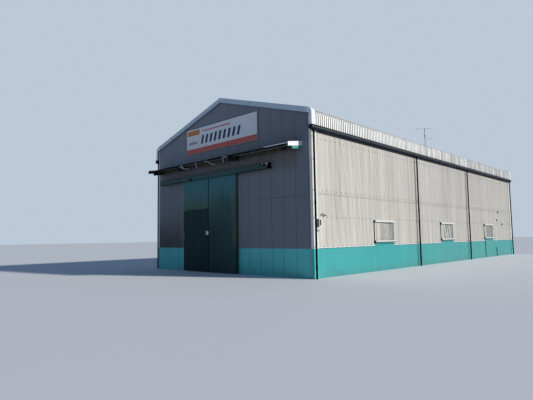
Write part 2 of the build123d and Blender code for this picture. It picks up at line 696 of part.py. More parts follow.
with BuildPart() as door_leaf_right:
    with Locations((RIGHT_X0 + LEAF_W / 2, LEAF_Y + 2, (LEAF_Z0 + LEAF_Z1) / 2)):
        Box(LEAF_W, 4, LEAF_Z1 - LEAF_Z0)
    mid_y = LEAF_Y + 4 + (LEAF_T - 4) / 2
    with Locations(
        *[
            (RIGHT_X0 + x, mid_y, (LEAF_Z0 + LEAF_Z1) / 2)
            for x in (BAR / 2, LEAF_W / 2, LEAF_W - BAR / 2)
        ]
    ):
        Box(BAR, LEAF_T - 4, LEAF_Z1 - LEAF_Z0)
    with Locations(*[(RIGHT_X0 + LEAF_W / 2, mid_y, z) for z in RAILS_Z]):
        Box(LEAF_W, LEAF_T - 4, BAR)
door_leaf_right.part.label = "door_leaf_right"
export_step(door_leaf_right.part, "parts/door_leaf_right.step")

# Hangers: a stem from the leaf's top through the slot to a pair of wheels.
with BuildPart() as door_hangers_left:
    for x in (LEFT_X0 + 250, LEFT_X0 + LEAF_W - 250):
        with BuildSketch(Plane.XY.offset(LEAF_Z1)):
            with Locations((x, RAIL_Y)):
                Circle(6)
        extrude(amount=4192 - LEAF_Z1)
        with BuildSketch(Plane.XZ.offset(-RAIL_Y)):
            with Locations((x, 4192)):
                Circle(20)
        extrude(amount=18, both=True)
door_hangers_left.part.label = "door_hangers_left"
export_step(door_hangers_left.part, "parts/door_hangers_left.step")

with BuildPart() as door_hangers_right:
    for x in (RIGHT_X0 + 250, RIGHT_X0 + LEAF_W - 250):
        with BuildSketch(Plane.XY.offset(LEAF_Z1)):
            with Locations((x, RAIL_Y)):
                Circle(6)
        extrude(amount=4192 - LEAF_Z1)
        with BuildSketch(Plane.XZ.offset(-RAIL_Y)):
            with Locations((x, 4192)):
                Circle(20)
        extrude(amount=18, both=True)
door_hangers_right.part.label = "door_hangers_right"
export_step(door_hangers_right.part, "parts/door_hangers_right.step")

# Pulls: a bow handle each at the outer edge, a long grip on the right leaf
# and a small blank plate on the left one by the meeting line.
with BuildPart() as door_handles_left:
    with Locations((LEFT_X0 + 70, LEAF_Y - 26, 1600)):
        Box(22, 12, 340)
    with Locations((LEFT_X0 + 70, LEAF_Y - 10, 1450), (LEFT_X0 + 70, LEAF_Y - 10, 1750)):
        Box(22, 20, 30)
    with Locations((-870, LEAF_Y - 2, 1700)):
        Box(160, 4, 160)
door_handles_left.part.label = "door_handles_left"
export_step(door_handles_left.part, "parts/door_handles_left.step")

with BuildPart() as door_handles_right:
    with Locations((RIGHT_X0 + LEAF_W - 70, LEAF_Y - 26, 1600)):
        Box(22, 12, 340)
    with Locations(
        (RIGHT_X0 + LEAF_W - 70, LEAF_Y - 10, 1450),
        (RIGHT_X0 + LEAF_W - 70, LEAF_Y - 10, 1750),
    ):
        Box(22, 20, 30)
    with Locations((RIGHT_X0 + 290, LEAF_Y - 34, 1620)):
        Box(40, 12, 460)
    with Locations(
        (RIGHT_X0 + 290, LEAF_Y - 14, 1420), (RIGHT_X0 + 290, LEAF_Y - 14, 1820)
    ):
        Box(40, 28, 40)
door_handles_right.part.label = "door_handles_right"
export_step(door_handles_right.part, "parts/door_handles_right.step")

# ---------------------------------------------------------------- fittings
with BuildPart() as meter_box:
    with Locations((X_OUT + 18 + 5, -11550, 1950)):
        Box(10, 220, 340)
    with Locations((X_OUT + 28 + 59.5, -11550, 1950)):
        Box(119, 120, 280)
meter_box.part.label = "meter_box"
export_step(meter_box.part, "parts/meter_box.step")

# Aerial on the ridge: mast on a plate, and its boom.
MAST_Y = 8750.0
with BuildPart() as antenna:
    with BuildSketch(Plane.XY.offset(CREST0 + 30)):
        with Locations((0, MAST_Y)):
            Circle(16)
    extrude(amount=9700 - CREST0 - 30)
    with BuildSketch(Plane.XY.offset(CREST0 + 30)):
        with Locations((0, MAST_Y)):
            Rectangle(180, 180)
    extrude(amount=6)
    with BuildSketch(Plane.XY.offset(9660)):
        with Locations(Location((0, MAST_Y, 0), (0, 0, 43.7))):
            Rectangle(1340, 24)
    extrude(amount=24)
antenna.part.label = "antenna"
export_step(antenna.part, "parts/antenna.step")
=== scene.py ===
import math
import random

import bmesh
import bpy
from mathutils import Matrix, Vector


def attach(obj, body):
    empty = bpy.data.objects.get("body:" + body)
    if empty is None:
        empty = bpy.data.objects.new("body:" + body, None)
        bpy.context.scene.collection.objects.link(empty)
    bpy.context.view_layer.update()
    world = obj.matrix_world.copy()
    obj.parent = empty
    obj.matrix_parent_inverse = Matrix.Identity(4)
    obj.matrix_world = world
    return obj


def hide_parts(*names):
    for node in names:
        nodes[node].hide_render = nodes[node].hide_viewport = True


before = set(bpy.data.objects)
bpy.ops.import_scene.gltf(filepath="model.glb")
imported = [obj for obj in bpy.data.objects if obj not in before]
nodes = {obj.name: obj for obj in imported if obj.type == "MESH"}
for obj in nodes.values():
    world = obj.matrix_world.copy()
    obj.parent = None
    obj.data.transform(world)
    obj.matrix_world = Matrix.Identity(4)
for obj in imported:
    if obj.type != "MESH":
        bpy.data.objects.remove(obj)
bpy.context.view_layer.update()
rng = random.Random(7)

# ------------------------------------------------------------------ sizes, in metres
X_OUT, Y_OUT = 4.838, 11.812
X_IN, Y_IN = 4.808, 11.782
DADO_H = 1.040
LAP_Z = 3.0
SIDE_TOP = 5.9
PITCH = 0.3
A = math.atan(PITCH)
CA, SA = math.cos(A), math.sin(A)
EAVE_R, ARC_X, ARC_Z = 0.200, 4.725, 5.850
EAVE_BOTTOM = 5.425
CREST0 = ARC_Z + EAVE_R * CA + PITCH * (ARC_X + EAVE_R * SA)
ROOF_RIB = 0.025
SOFFIT0 = CREST0 - 0.050 / CA
BAY = 23.64 / 7
WIN_MID = -0.105
WIN_Y = [WIN_MID - 2 * BAY, WIN_MID, WIN_MID + 2 * BAY]
WIN_W, WIN_Z0, WIN_Z1 = 1.69, 1.150, 2.115
HOLE_W, HOLE_Z1 = 1.65, 2.100
DOOR_X = -0.770
OPEN_X0, OPEN_X1, OPEN_Z1 = -2.540, 1.000, 4.100
LEAF_Y, LEAF_Z0, LEAF_Z1, LEAF_W = -11.925, 0.030, 4.130, 1.800
LEFT_X0 = DOOR_X - 0.005 - LEAF_W
RIGHT_X0 = DOOR_X + 0.005
PIPE_X = 4.957
PIPE_Y = [-11.785, -3.640, 3.060, 11.550]
CAN_X0, CAN_X1, CAN_Y = -4.542, 4.456, -12.612
CAN_WALL_Z, CAN_EDGE_Z, CAN_LIP_Z = 4.855, 4.727, 4.672
SIGN_X0, SIGN_X1, SIGN_Z0, SIGN_Z1 = -2.420, 2.230, 5.320, 6.480
JOINT0, JOINT = 4.100, 0.6065


def crest(x):
    return CREST0 - PITCH * abs(x)


def can_top(y):
    return CAN_EDGE_Z + (CAN_WALL_Z - CAN_EDGE_Z) / (-Y_OUT - CAN_Y) * (y - CAN_Y)


# ------------------------------------------------------------------ material kit
def lin(r, g, b):
    out = []
    for c in (r, g, b):
        c = c / 255.0
        out.append(c / 12.92 if c <= 0.04045 else ((c + 0.055) / 1.055) ** 2.4)
    return (out[0], out[1], out[2], 1.0)


def shade(c, k):
    return (min(c[0] * k, 1), min(c[1] * k, 1), min(c[2] * k, 1), 1.0)


class Kit:
    """Short calls that each add one shader node and return its output."""

    def __init__(self, name):
        self.mat = bpy.data.materials.new(name)
        self.mat.use_nodes = True
        self.nt = self.mat.node_tree
        self.nt.nodes.clear()
        out = self.nt.nodes.new("ShaderNodeOutputMaterial")
        self.b = self.nt.nodes.new("ShaderNodeBsdfPrincipled")
        self.nt.links.new(self.b.outputs[0], out.inputs[0])
        self.pos = self.nt.nodes.new("ShaderNodeTexCoord").outputs["Object"]
        sep = self.nt.nodes.new("ShaderNodeSeparateXYZ")
        self.nt.links.new(self.pos, sep.inputs[0])
        self.x, self.y, self.z = sep.outputs[0], sep.outputs[1], sep.outputs[2]

    def put(self, sock, value):
        if isinstance(value, bpy.types.NodeSocket):
            self.nt.links.new(value, sock)
        else:
            sock.default_value = value

    def set(self, name, value):
        self.put(self.b.inputs[name], value)

    def scaled(self, s, offset=(0, 0, 0)):
        n = self.nt.nodes.new("ShaderNodeMapping")
        self.nt.links.new(self.pos, n.inputs["Vector"])
        n.inputs["Scale"].default_value = s
        n.inputs["Location"].default_value = offset
        return n.outputs[0]

    def noise(self, scale, detail=4.0, rough=0.55, vec=None, dist=0.0):
        n = self.nt.nodes.new("ShaderNodeTexNoise")
        self.put(n.inputs["Vector"], vec if vec is not None else self.pos)
        n.inputs["Scale"].default_value = scale
        n.inputs["Detail"].default_value = detail
        n.inputs["Roughness"].default_value = rough
        n.inputs["Distortion"].default_value = dist
        return n.outputs["Fac"]

    def cells(self, scale, vec=None, feature="F1"):
        n = self.nt.nodes.new("ShaderNodeTexVoronoi")
        n.feature = feature
        self.put(n.inputs["Vector"], vec if vec is not None else self.pos)
        n.inputs["Scale"].default_value = scale
        return n

    def m(self, op, a, b=0.0, c=0.0, clamp=False):
        n = self.nt.nodes.new("ShaderNodeMath")
        n.operation = op
        n.use_clamp = clamp
        self.put(n.inputs[0], a)
        self.put(n.inputs[1], b)
        self.put(n.inputs[2], c)
        return n.outputs[0]

    def span(self, v, a, b, c=0.0, d=1.0, kind="SMOOTHSTEP"):
        n = self.nt.nodes.new("ShaderNodeMapRange")
        n.interpolation_type = kind
        self.put(n.inputs["Value"], v)
        n.inputs["From Min"].default_value = a
        n.inputs["From Max"].default_value = b
        n.inputs["To Min"].default_value = c
        n.inputs["To Max"].default_value = d
        return n.outputs[0]

    def mix(self, fac, a, b, kind="MIX"):
        n = self.nt.nodes.new("ShaderNodeMix")
        n.data_type = "RGBA"
        n.blend_type = kind
        self.put(n.inputs[0], fac)
        self.put(n.inputs[6], a)
        self.put(n.inputs[7], b)
        return n.outputs[2]

    def ramp(self, fac, stops):
        n = self.nt.nodes.new("ShaderNodeValToRGB")
        self.put(n.inputs[0], fac)
        el = n.color_ramp.elements
        while len(el) < len(stops):
            el.new(0.5)
        for e, (p, c) in zip(el, stops):
            e.position = p
            e.color = c
        return n.outputs[0]

    def bump(self, height, strength, distance, normal=None):
        n = self.nt.nodes.new("ShaderNodeBump")
        n.inputs["Strength"].default_value = strength
        n.inputs["Distance"].default_value = distance
        self.put(n.inputs["Height"], height)
        if normal is not None:
            self.put(n.inputs["Normal"], normal)
        return n.outputs[0]

    def band(self, v, lo, hi, soft):
        """1 between lo and hi, falling to 0 over soft on both sides."""
        up = self.span(v, lo - soft, lo)
        down = self.span(v, hi, hi + soft, 1.0, 0.0)
        return self.m("MULTIPLY", up, down)


def painted_sheet(
    name, rgb, stain=(96, 88, 78), var=0.07, streak=0.28, laps=(), foot=0.45,
    rough=0.42, coat=0.0, stretch=9.0, grime=0.12, chips=0.0, chip_rgb=(120, 78, 52),
    oil=0.35, lap_dark=0.75, rib_shade_tone=0.0, spec=0.5, long_wall=False,
):
    """Coated steel sheet: slow fading, rain streaks, dust and painted shade under the
    laps, splash at the foot, a faint orange peel and slight oil canning."""
    k = Kit(name)
    base = lin(*rgb)
    slow = k.noise(0.45, 3.0, 0.5)
    col = k.mix(slow, shade(base, 1 - var), shade(base, 1 + var))
    fine = k.noise(38.0, 2.0, 0.6)
    col = k.mix(k.span(fine, 0.35, 0.75, 0.0, 0.10), col, shade(base, 0.72))
    # darker and lighter vertical streaks, lit and shaded copies of the base: painted shade and highlight standing in
    # for the rib shading pattern
    if rib_shade_tone:
        each = k.noise(1.0, 3.0, 0.95, k.scaled((4.2, 4.2, 0.075), (1, 6, 4)), 0.25)
        much = 1.0
        if long_wall:
            much = k.m("MULTIPLY", k.span(k.z, 2.6, 4.2, 1.0, 1.15), k.span(k.y, -1.0, 6.0, 1.0, 0.7))
        col = k.mix(k.m("MULTIPLY", k.span(each, 0.50, 0.66, 0.0, rib_shade_tone), much, clamp=True), col, shade(base, 0.50))
        col = k.mix(k.m("MULTIPLY", k.span(each, 0.50, 0.34, 0.0, rib_shade_tone), much, clamp=True), col, shade(base, 1.45))
    if long_wall:
        # thin darker lines that lean a little, strongest in the first bay: painted shade copying the rib shading
        # pattern
        drift = k.noise(1.0, 3.0, 0.6, k.scaled((0.8, 0.8, 0.25), (2, 2, 8)))
        back = k.m("MAXIMUM", k.m("ADD", k.y, 10.4), 0.0)
        packed = k.m("ADD", k.y, k.m("MULTIPLY", k.m("MULTIPLY", back, back), 0.19))
        lean = k.m("ADD", k.m("ADD", packed, k.m("MULTIPLY", k.z, 0.20)), k.span(drift, 0.2, 0.8, -0.14, 0.14, "LINEAR"))
        line = k.span(k.m("PINGPONG", lean, 0.235), 0.0, 0.085, 1.0, 0.0)
        zone = k.m("MULTIPLY", k.band(k.y, -10.3, -6.6, 1.2), k.span(k.z, 1.2, 2.4, 0.5, 1.0))
        col = k.mix(k.m("MULTIPLY", k.m("MULTIPLY", line, zone), 0.34), col, lin(156, 148, 140))
        # painted shadow of the gutter across the top of the wall, and painted shadows of the downpipes beside them
        col = k.mix(k.span(k.z, 5.185, 5.205), col, lin(112, 104, 114))
        for y in PIPE_Y:
            col = k.mix(k.m("MULTIPLY", k.band(k.y, y - 0.088, y - 0.012, 0.012), 0.45), col, lin(96, 84, 80))
    runs = k.noise(1.0, 5.0, 0.65, k.scaled((stretch, stretch, 0.42)), 0.3)
    runs2 = k.noise(1.0, 3.0, 0.5, k.scaled((stretch * 3.2, stretch * 3.2, 0.8), (3, 1, 7)))
    wet = k.m("MULTIPLY", k.span(runs, 0.50, 0.78), k.span(runs2, 0.30, 0.70, 0.4, 1.0))
    col = k.mix(k.m("MULTIPLY", wet, streak), col, lin(*stain))
    cloud = k.noise(1.3, 5.0, 0.6, k.scaled((1.0, 1.0, 0.7), (11, 4, 2)))
    col = k.mix(k.m("MULTIPLY", k.span(cloud, 0.52, 0.80), grime), col, lin(*stain))
    # dust and painted shade under each lap
    for z in laps:
        below = k.band(k.z, z - 0.012, z + 0.002, 0.05)
        uneven = k.noise(1.0, 3.0, 0.6, k.scaled((6.0, 6.0, 1.0), (z, 0, 5)))
        col = k.mix(
            k.m("MULTIPLY", below, k.span(uneven, 0.25, 0.70, lap_dark * 0.4, lap_dark)),
            col, shade(lin(*stain), 0.8),
        )
    if foot:
        splash = k.span(k.z, 0.0, 0.38, 1.0, 0.0)
        torn = k.noise(4.0, 5.0, 0.65)
        splash = k.m("MULTIPLY", splash, k.span(torn, 0.30, 0.65))
        col = k.mix(k.m("MULTIPLY", splash, foot), col, lin(112, 100, 84))
    if chips:
        spots = k.noise(22.0, 4.0, 0.7, None, 0.4)
        edge = k.noise(1.6, 3.0, 0.6, k.scaled((1, 1, 1), (5, 9, 1)))
        hit = k.m("MULTIPLY", k.span(spots, 0.66, 0.70), k.span(edge, 0.45, 0.62))
        col = k.mix(k.m("MULTIPLY", hit, chips), col, lin(*chip_rgb))
    k.set("Base Color", col)
    r = k.span(cloud, 0.3, 0.8, rough - 0.07, rough + 0.14)
    k.set("Roughness", r)
    k.set("Specular IOR Level", spec)
    peel = k.noise(240.0, 2.0, 0.5)
    dents = k.noise(1.0, 2.0, 0.5, k.scaled((2.6, 2.6, 1.1)))
    n = k.bump(dents, oil, 0.010)
    k.set("Normal", k.bump(peel, 0.06, 0.0006, n))
    if coat:
        k.set("Coat Weight", coat)
        k.set("Coat Roughness", 0.22)
    return k


def bare_steel(name, rgb, rust=0.3, rough=0.45, metallic=0.8, spangle=True):
    k = Kit(name)
    base = lin(*rgb)
    if spangle:
        v = k.cells(90.0)
        tone = k.span(v.outputs["Distance"], 0.0, 0.8)
    else:
        tone = k.noise(14.0, 4.0, 0.6)
    col = k.mix(tone, shade(base, 0.82), shade(base, 1.12))
    patch = k.noise(5.0, 6.0, 0.68, None, 0.3)
    col = k.mix(k.m("MULTIPLY", k.span(patch, 0.52, 0.68), rust), col, lin(104, 66, 44))
    k.set("Base Color", col)
    k.set("Metallic", metallic)
    k.set("Roughness", k.span(patch, 0.35, 0.75, rough - 0.1, rough + 0.28))
    k.set("Normal", k.bump(k.noise(120.0, 3.0, 0.6), 0.12, 0.001))
    return k


M = {}

# Long walls: warm grey siding with dust and painted shade under the lap; pans and flanks take a darker groove finish,
# dust and painted shade.
SIDE = dict(stain=(140, 131, 120), var=0.035, foot=0.0, rough=0.46, grime=0.10, oil=0.25)
M["siding"] = painted_sheet(
    "siding_warm_grey", (229, 224, 215), streak=0.14, laps=(LAP_Z,), lap_dark=0.30,
    rib_shade_tone=0.34, long_wall=True, **SIDE,
).mat
M["siding_groove"] = painted_sheet(
    "siding_groove_dust_and_shade", (198, 192, 182), streak=0.36, laps=(LAP_Z,), lap_dark=0.4,
    rib_shade_tone=0.40, long_wall=True, **SIDE,
).mat


def dado_coat(name, rgb, stain, streak, rib_shade_tone):
    """Teal sheet, paler towards the back."""
    k = painted_sheet(
        name, rgb, stain=stain, var=0.06, streak=streak, laps=(), foot=0.30, rough=0.43,
        grime=0.14, oil=0.2, rib_shade_tone=rib_shade_tone,
    )
    col = k.b.inputs["Base Color"].links[0].from_socket
    chalk = k.m("MULTIPLY", k.span(k.y, -8.0, 3.0, 0.0, 0.24), k.span(k.noise(0.9, 4.0, 0.6), 0.25, 0.75, 0.7, 1.0))
    k.set("Base Color", k.mix(chalk, col, lin(172, 212, 200)))
    return k.mat


M["dado"] = dado_coat("dado_teal", (84, 192, 190), (64, 124, 120), 0.18, 0.10)
# pans and flanks of the dado take a darker groove finish: dust and painted shade in the grooves
M["dado_groove"] = dado_coat("dado_teal_groove", (68, 168, 168), (54, 98, 96), 0.35, 0.12)


def end_panels():
    """Flat end panels: a shade apart from each other, with painted shade under the canopy and painted light and shade
    across the front wall.
    """
    k = painted_sheet(
        "end_panel_grey", (124, 128, 137), stain=(84, 79, 74), var=0.05, streak=0.20,
        laps=(2.95,), lap_dark=0.30, foot=0.2, rough=0.42, grime=0.12, oil=0.3, stretch=7.0,
    )
    col = k.b.inputs["Base Color"].links[0].from_socket
    sheet = k.nt.nodes.new("ShaderNodeTexWhiteNoise")
    sheet.noise_dimensions = "1D"
    which = k.m("FLOOR", k.m("DIVIDE", k.m("SUBTRACT", k.x, 4.100), 0.6065))
    k.put(sheet.inputs["W"], which)
    col = k.mix(k.m("MULTIPLY", sheet.outputs["Value"], 0.16), col, lin(98, 102, 112))
    # painted shade on the wall under the canopy, brownish and ragged
    canopy_shade = k.band(k.z, 4.25, 4.80, 0.45)
    torn = k.noise(1.0, 4.0, 0.6, k.scaled((2.2, 2.2, 3.0), (8, 0, 1)))
    front = k.span(k.y, -11.7, -11.8)
    inside = k.band(k.x, -4.4, 4.1, 0.25)
    canopy_shade = k.m("MULTIPLY", k.m("MULTIPLY", canopy_shade, inside), front)
    canopy_shade = k.m("MULTIPLY", canopy_shade, k.span(torn, 0.25, 0.70, 0.30, 0.62))
    col = k.mix(canopy_shade, col, lin(104, 95, 86))
    # painted shadow close under the canopy sheet, thinning out downwards
    ragged = k.m("ADD", k.z, k.span(torn, 0.2, 0.8, -0.03, 0.03, "LINEAR"))
    close = k.m("MULTIPLY", k.span(ragged, 4.50, 4.78), k.span(k.z, 4.86, 4.88, 1.0, 0.0))
    close = k.m("MULTIPLY", k.m("MULTIPLY", close, front), k.band(k.x, -4.5, 4.3, 0.10))
    col = k.mix(k.m("MULTIPLY", close, 0.88), col, lin(62, 56, 42))
    # a painted highlight on the wall strip right of the doorway, where the door leaf shades it
    beside = k.m("MULTIPLY", k.band(k.x, 1.035, 1.11, 0.02), k.span(k.z, 4.06, 4.04))
    beside = k.m("MULTIPLY", beside, front)
    # painted shade: the front wall darker towards the bottom
    low = k.m("MULTIPLY", k.span(k.z, 4.6, 0.8), front)
    col = k.mix(k.m("MULTIPLY", low, 0.24), col, lin(92, 98, 104))
    # browner low down on the left wall, and paler beside the doors
    beyond = k.m("MULTIPLY", k.span(k.x, -1.7, -1.9), front)
    warm = k.m("MULTIPLY", beyond, k.span(k.z, 3.6, 2.2))
    col = k.mix(k.m("MULTIPLY", warm, 0.38), col, lin(112, 104, 94))
    dust = k.m("MULTIPLY", k.m("MULTIPLY", k.band(k.x, -2.55, -1.70, 0.30), k.span(k.z, 2.3, 1.3)), front)
    col = k.mix(k.m("MULTIPLY", dust, 0.60), col, lin(170, 152, 140))
    # painted light and shade on the front: the gable lighter to the left, the walls below it darker, darkest low on the
    # left, lighter beside the doorway
    tilt = k.span(k.x, -1.0, 4.6, 1.12, 0.88, "LINEAR")
    course = k.span(k.z, 5.0, 4.7, 0.0, 1.0)
    lower = k.span(k.x, -3.4, -1.8, 0.86, 0.89)
    left = k.m("MULTIPLY", k.span(k.x, -2.1, -3.4), k.span(k.z, 2.9, 1.2))
    lower = k.m("MULTIPLY", lower, k.m("SUBTRACT", 1.0, k.m("MULTIPLY", left, 0.72)))
    lower = k.m("ADD", lower, k.m("MULTIPLY", beside, 0.45))
    gain = k.m("ADD", k.m("MULTIPLY", tilt, k.m("SUBTRACT", 1.0, course)), k.m("MULTIPLY", lower, course))
    gain = k.m("ADD", k.m("MULTIPLY", gain, front), k.m("SUBTRACT", 1.0, front))
    col = k.mix(1.0, col, gain, "MULTIPLY")
    k.set("Base Color", col)
    return k.mat


M["panel"] = end_panels()
M["groove"] = painted_sheet(
    "panel_joint_dark", (70, 73, 80), stain=(40, 38, 36), var=0.1, streak=0.3,
    rough=0.6, foot=0.2, oil=0.1,
).mat


def lining(name, rgb, board=0.91):
    """Backing board inside the cladding, in sheets 0.91 m wide."""
    k = Kit(name)
    base = lin(*rgb)
    cloud = k.noise(0.9, 4.0, 0.6)
    col = k.mix(cloud, shade(base, 0.86), shade(base, 1.06))
    fibre = k.noise(1.0, 4.0, 0.7, k.scaled((60, 60, 9)))
    col = k.mix(k.span(fibre, 0.35, 0.8, 0.0, 0.25), col, shade(base, 0.7))
    for axis in (k.x, k.y):
        saw = k.m("PINGPONG", axis, board / 2)
        line = k.span(saw, 0.0, 0.006, 1.0, 0.0)
        col = k.mix(k.m("MULTIPLY", line, 0.55), col, shade(base, 0.35))
    damp = k.noise(0.7, 4.0, 0.6, k.scaled((1, 1, 0.6), (2, 8, 3)))
    col = k.mix(k.span(damp, 0.6, 0.8, 0.0, 0.35), col, lin(120, 104, 82))
    k.set("Base Color", col)
    k.set("Roughness", k.span(fibre, 0.2, 0.8, 0.78, 0.92))
    k.set("Normal", k.bump(fibre, 0.2, 0.002))
    return k.mat


M["lining"] = lining("lining_board", (150, 143, 130))
M["roof_lining"] = lining("lining_roof_felt", (168, 168, 164), 0.762)


def roof_coat(name, rgb, dirt=0.38, mid_rgb=None, far_rgb=None):
    k = Kit(name)
    base = lin(*rgb)
    slow = k.noise(0.3, 3.0, 0.5)
    col = k.mix(slow, shade(base, 0.93), shade(base, 1.04))
    # along the building the flank tone is painted shade: dark at the near end, pale in the middle and mid-grey far off
    if mid_rgb:
        col = k.mix(k.span(k.y, -9.5, -6.0), col, lin(*mid_rgb))
        col = k.mix(k.span(k.y, -1.0, 4.0), col, lin(*far_rgb))
    each = k.noise(1.0, 4.0, 0.85, k.scaled((0.15, 3.0, 0.15), (6, 1, 2)))
    col = k.mix(k.span(each, 0.48, 0.66, 0.0, 0.34), col, lin(150, 146, 142))
    # away from the near end, fine dark and near-white rib streaks: painted shade and highlight standing in for the ribs
    away = k.span(k.y, -6.5, -2.0)
    ribs = k.noise(1.0, 1.0, 0.8, k.scaled((0.08, 6.5, 0.08), (3, 5, 7)))
    col = k.mix(k.m("MULTIPLY", away, k.span(ribs, 0.48, 0.66, 0.0, 0.46)), col, lin(146, 138, 132))
    col = k.mix(k.m("MULTIPLY", away, k.span(ribs, 0.50, 0.36, 0.0, 0.66)), col, lin(255, 253, 248))
    # dust lies on the slope and thins out round the eave
    dusty = k.span(k.z, 5.97, 6.12)
    grit = k.noise(1.0, 5.0, 0.65, k.scaled((0.55, 7.0, 0.55)))
    col = k.mix(
        k.m("MULTIPLY", dusty, k.span(grit, 0.25, 0.80, 0.30, 0.62)), col, lin(176, 169, 162)
    )
    fine = k.noise(30.0, 3.0, 0.6)
    col = k.mix(k.m("MULTIPLY", dusty, k.span(fine, 0.35, 0.75, 0.0, 0.22)), col, lin(120, 112, 106))
    rosy = k.band(k.z, 5.99, 6.10, 0.05)
    col = k.mix(k.m("MULTIPLY", rosy, 0.34), col, lin(180, 156, 142))
    runs = k.noise(1.0, 5.0, 0.65, k.scaled((1.2, 15.0, 0.6)))
    col = k.mix(k.span(runs, 0.48, 0.80, 0.0, dirt), col, lin(142, 132, 124))
    drip = k.m("MULTIPLY", k.span(k.z, 5.425, 5.53, 1.0, 0.0), k.span(runs, 0.35, 0.65))
    col = k.mix(k.m("MULTIPLY", drip, 0.45), col, lin(120, 104, 92))
    rust = k.noise(9.0, 5.0, 0.7, None, 0.5)
    col = k.mix(k.span(rust, 0.70, 0.76, 0.0, 0.55), col, lin(126, 78, 52))
    k.set("Base Color", col)
    k.set("Roughness", k.span(grit, 0.3, 0.8, 0.48, 0.70))
    n = k.bump(k.noise(1.0, 2.0, 0.5, k.scaled((1.5, 2.5, 1.5))), 0.25, 0.01)
    k.set("Normal", k.bump(k.noise(180.0, 2.0, 0.5), 0.08, 0.0008, n))
    return k.mat


M["roof"] = roof_coat("roof_offwhite", (248, 247, 244), 0.26)
# dark flank finish: painted shade on the rib flanks, with dust
M["roof_flank"] = roof_coat("roof_flank_dust_and_shade", (92, 92, 94), 0.40, (196, 194, 190), (158, 156, 152))
M["trim_white"] = painted_sheet(
    "trim_white", (232, 234, 235), stain=(128, 118, 106), var=0.04, streak=0.22,
    foot=0.4, rough=0.38, grime=0.12, oil=0.15,
).mat
# pale blue-grey: white trim with part of the sky's blue painted in, a painted reflection
M["trim_front"] = painted_sheet(
    "trim_pale_blue_grey", (190, 207, 217), stain=(104, 108, 110), var=0.05, streak=0.25,
    foot=0.4, rough=0.40, grime=0.16, oil=0.2,
).mat


def vinyl(name, rgb, chalk, rough=0.42, spec=0.28):
    """Dark gutter and pipe plastic, chalked by the sun."""
    k = Kit(name)
    base = lin(*rgb)
    cloud = k.noise(2.2, 5.0, 0.6)
    col = k.mix(cloud, shade(base, 0.75), shade(base, 1.25))
    runs = k.noise(1.0, 5.0, 0.65, k.scaled((8, 8, 0.7)))
    col = k.mix(k.span(runs, 0.5, 0.8, 0.0, 0.5), col, lin(*chalk))
    dust = k.noise(55.0, 3.0, 0.6)
    col = k.mix(k.span(dust, 0.5, 0.8, 0.0, 0.18), col, lin(*chalk))
    k.set("Base Color", col)
    k.set("Roughness", k.span(cloud, 0.3, 0.8, rough - 0.06, rough + 0.18))
    k.set("Specular IOR Level", spec)
    k.set("Normal", k.bump(k.noise(70.0, 3.0, 0.5), 0.10, 0.001))
    return k.mat


M["gutter"] = vinyl("gutter_slate", (27, 31, 42), (52, 56, 66), 0.55, 0.08)
M["gutter_bead"] = vinyl("gutter_bead_dark", (10, 13, 15), (26, 30, 32), 0.55, 0.06)
M["gutter_lip"] = vinyl("gutter_lip_grey_blue", (70, 78, 82), (96, 104, 108), 0.5, 0.10)
M["pipe"] = vinyl("pipe_near_black", (11, 10, 11), (30, 28, 28), 0.55, 0.07)
M["black"] = vinyl("shadow_gap_black", (12, 12, 13), (34, 34, 34), 0.7, 0.1)


def corner_coat():
    """White corner strips, painted with the dado at the foot."""
    k = painted_sheet(
        "corner_white_over_teal", (220, 220, 214), stain=(128, 120, 110), var=0.04,
        streak=0.20, foot=0.0, rough=0.40, grime=0.14, oil=0.15,
    )
    col = k.b.inputs["Base Color"].links[0].from_socket
    grain = k.noise(3.0, 4.0, 0.6)
    teal = k.mix(grain, lin(56, 164, 162), lin(72, 190, 188))
    k.set("Base Color", k.mix(k.span(k.z, 1.036, 1.040, 1.0, 0.0), col, teal))
    return k.mat


M["corner"] = corner_coat()
M["clip"] = bare_steel("clip_steel", (70, 68, 68), rust=0.55, rough=0.5).mat
M["screw"] = bare_steel("screw_head", (112, 110, 108), rust=0.7, rough=0.5, spangle=False).mat
M["screw_dark"] = bare_steel("siding_screw_dark", (40, 37, 36), rust=0.6, rough=0.55, metallic=0.2, spangle=False).mat
M["galv"] = bare_steel("galvanised", (178, 180, 182), rust=0.12, rough=0.42).mat
M["rail"] = bare_steel("rail_dull_steel", (98, 98, 100), rust=0.55, rough=0.5).mat
M["rod_pale"] = bare_steel("rod_pale_zinc", (214, 216, 218), rust=0.10, rough=0.5, metallic=0.1, spangle=False).mat
M["dark_iron"] = bare_steel("dark_iron", (44, 44, 48), rust=0.45, rough=0.55, metallic=0.4, spangle=False).mat


def primer():
    k = Kit("frame_red_oxide")
    base = lin(118, 58, 44)
    cloud = k.noise(1.8, 5.0, 0.6)
    col = k.mix(cloud, shade(base, 0.78), shade(base, 1.18))
    dust = k.noise(16.0, 4.0, 0.65)
    col = k.mix(k.span(dust, 0.50, 0.78, 0.0, 0.4), col, lin(150, 132, 118))
    chip = k.noise(34.0, 5.0, 0.7, None, 0.4)
    col = k.mix(k.span(chip, 0.66, 0.70, 0.0, 0.8), col, lin(66, 60, 58))
    k.set("Base Color", col)
    k.set("Roughness", k.span(cloud, 0.3, 0.8, 0.48, 0.70))
    k.set("Normal", k.bump(chip, 0.12, 0.001))
    return k.mat


M["frame"] = primer()


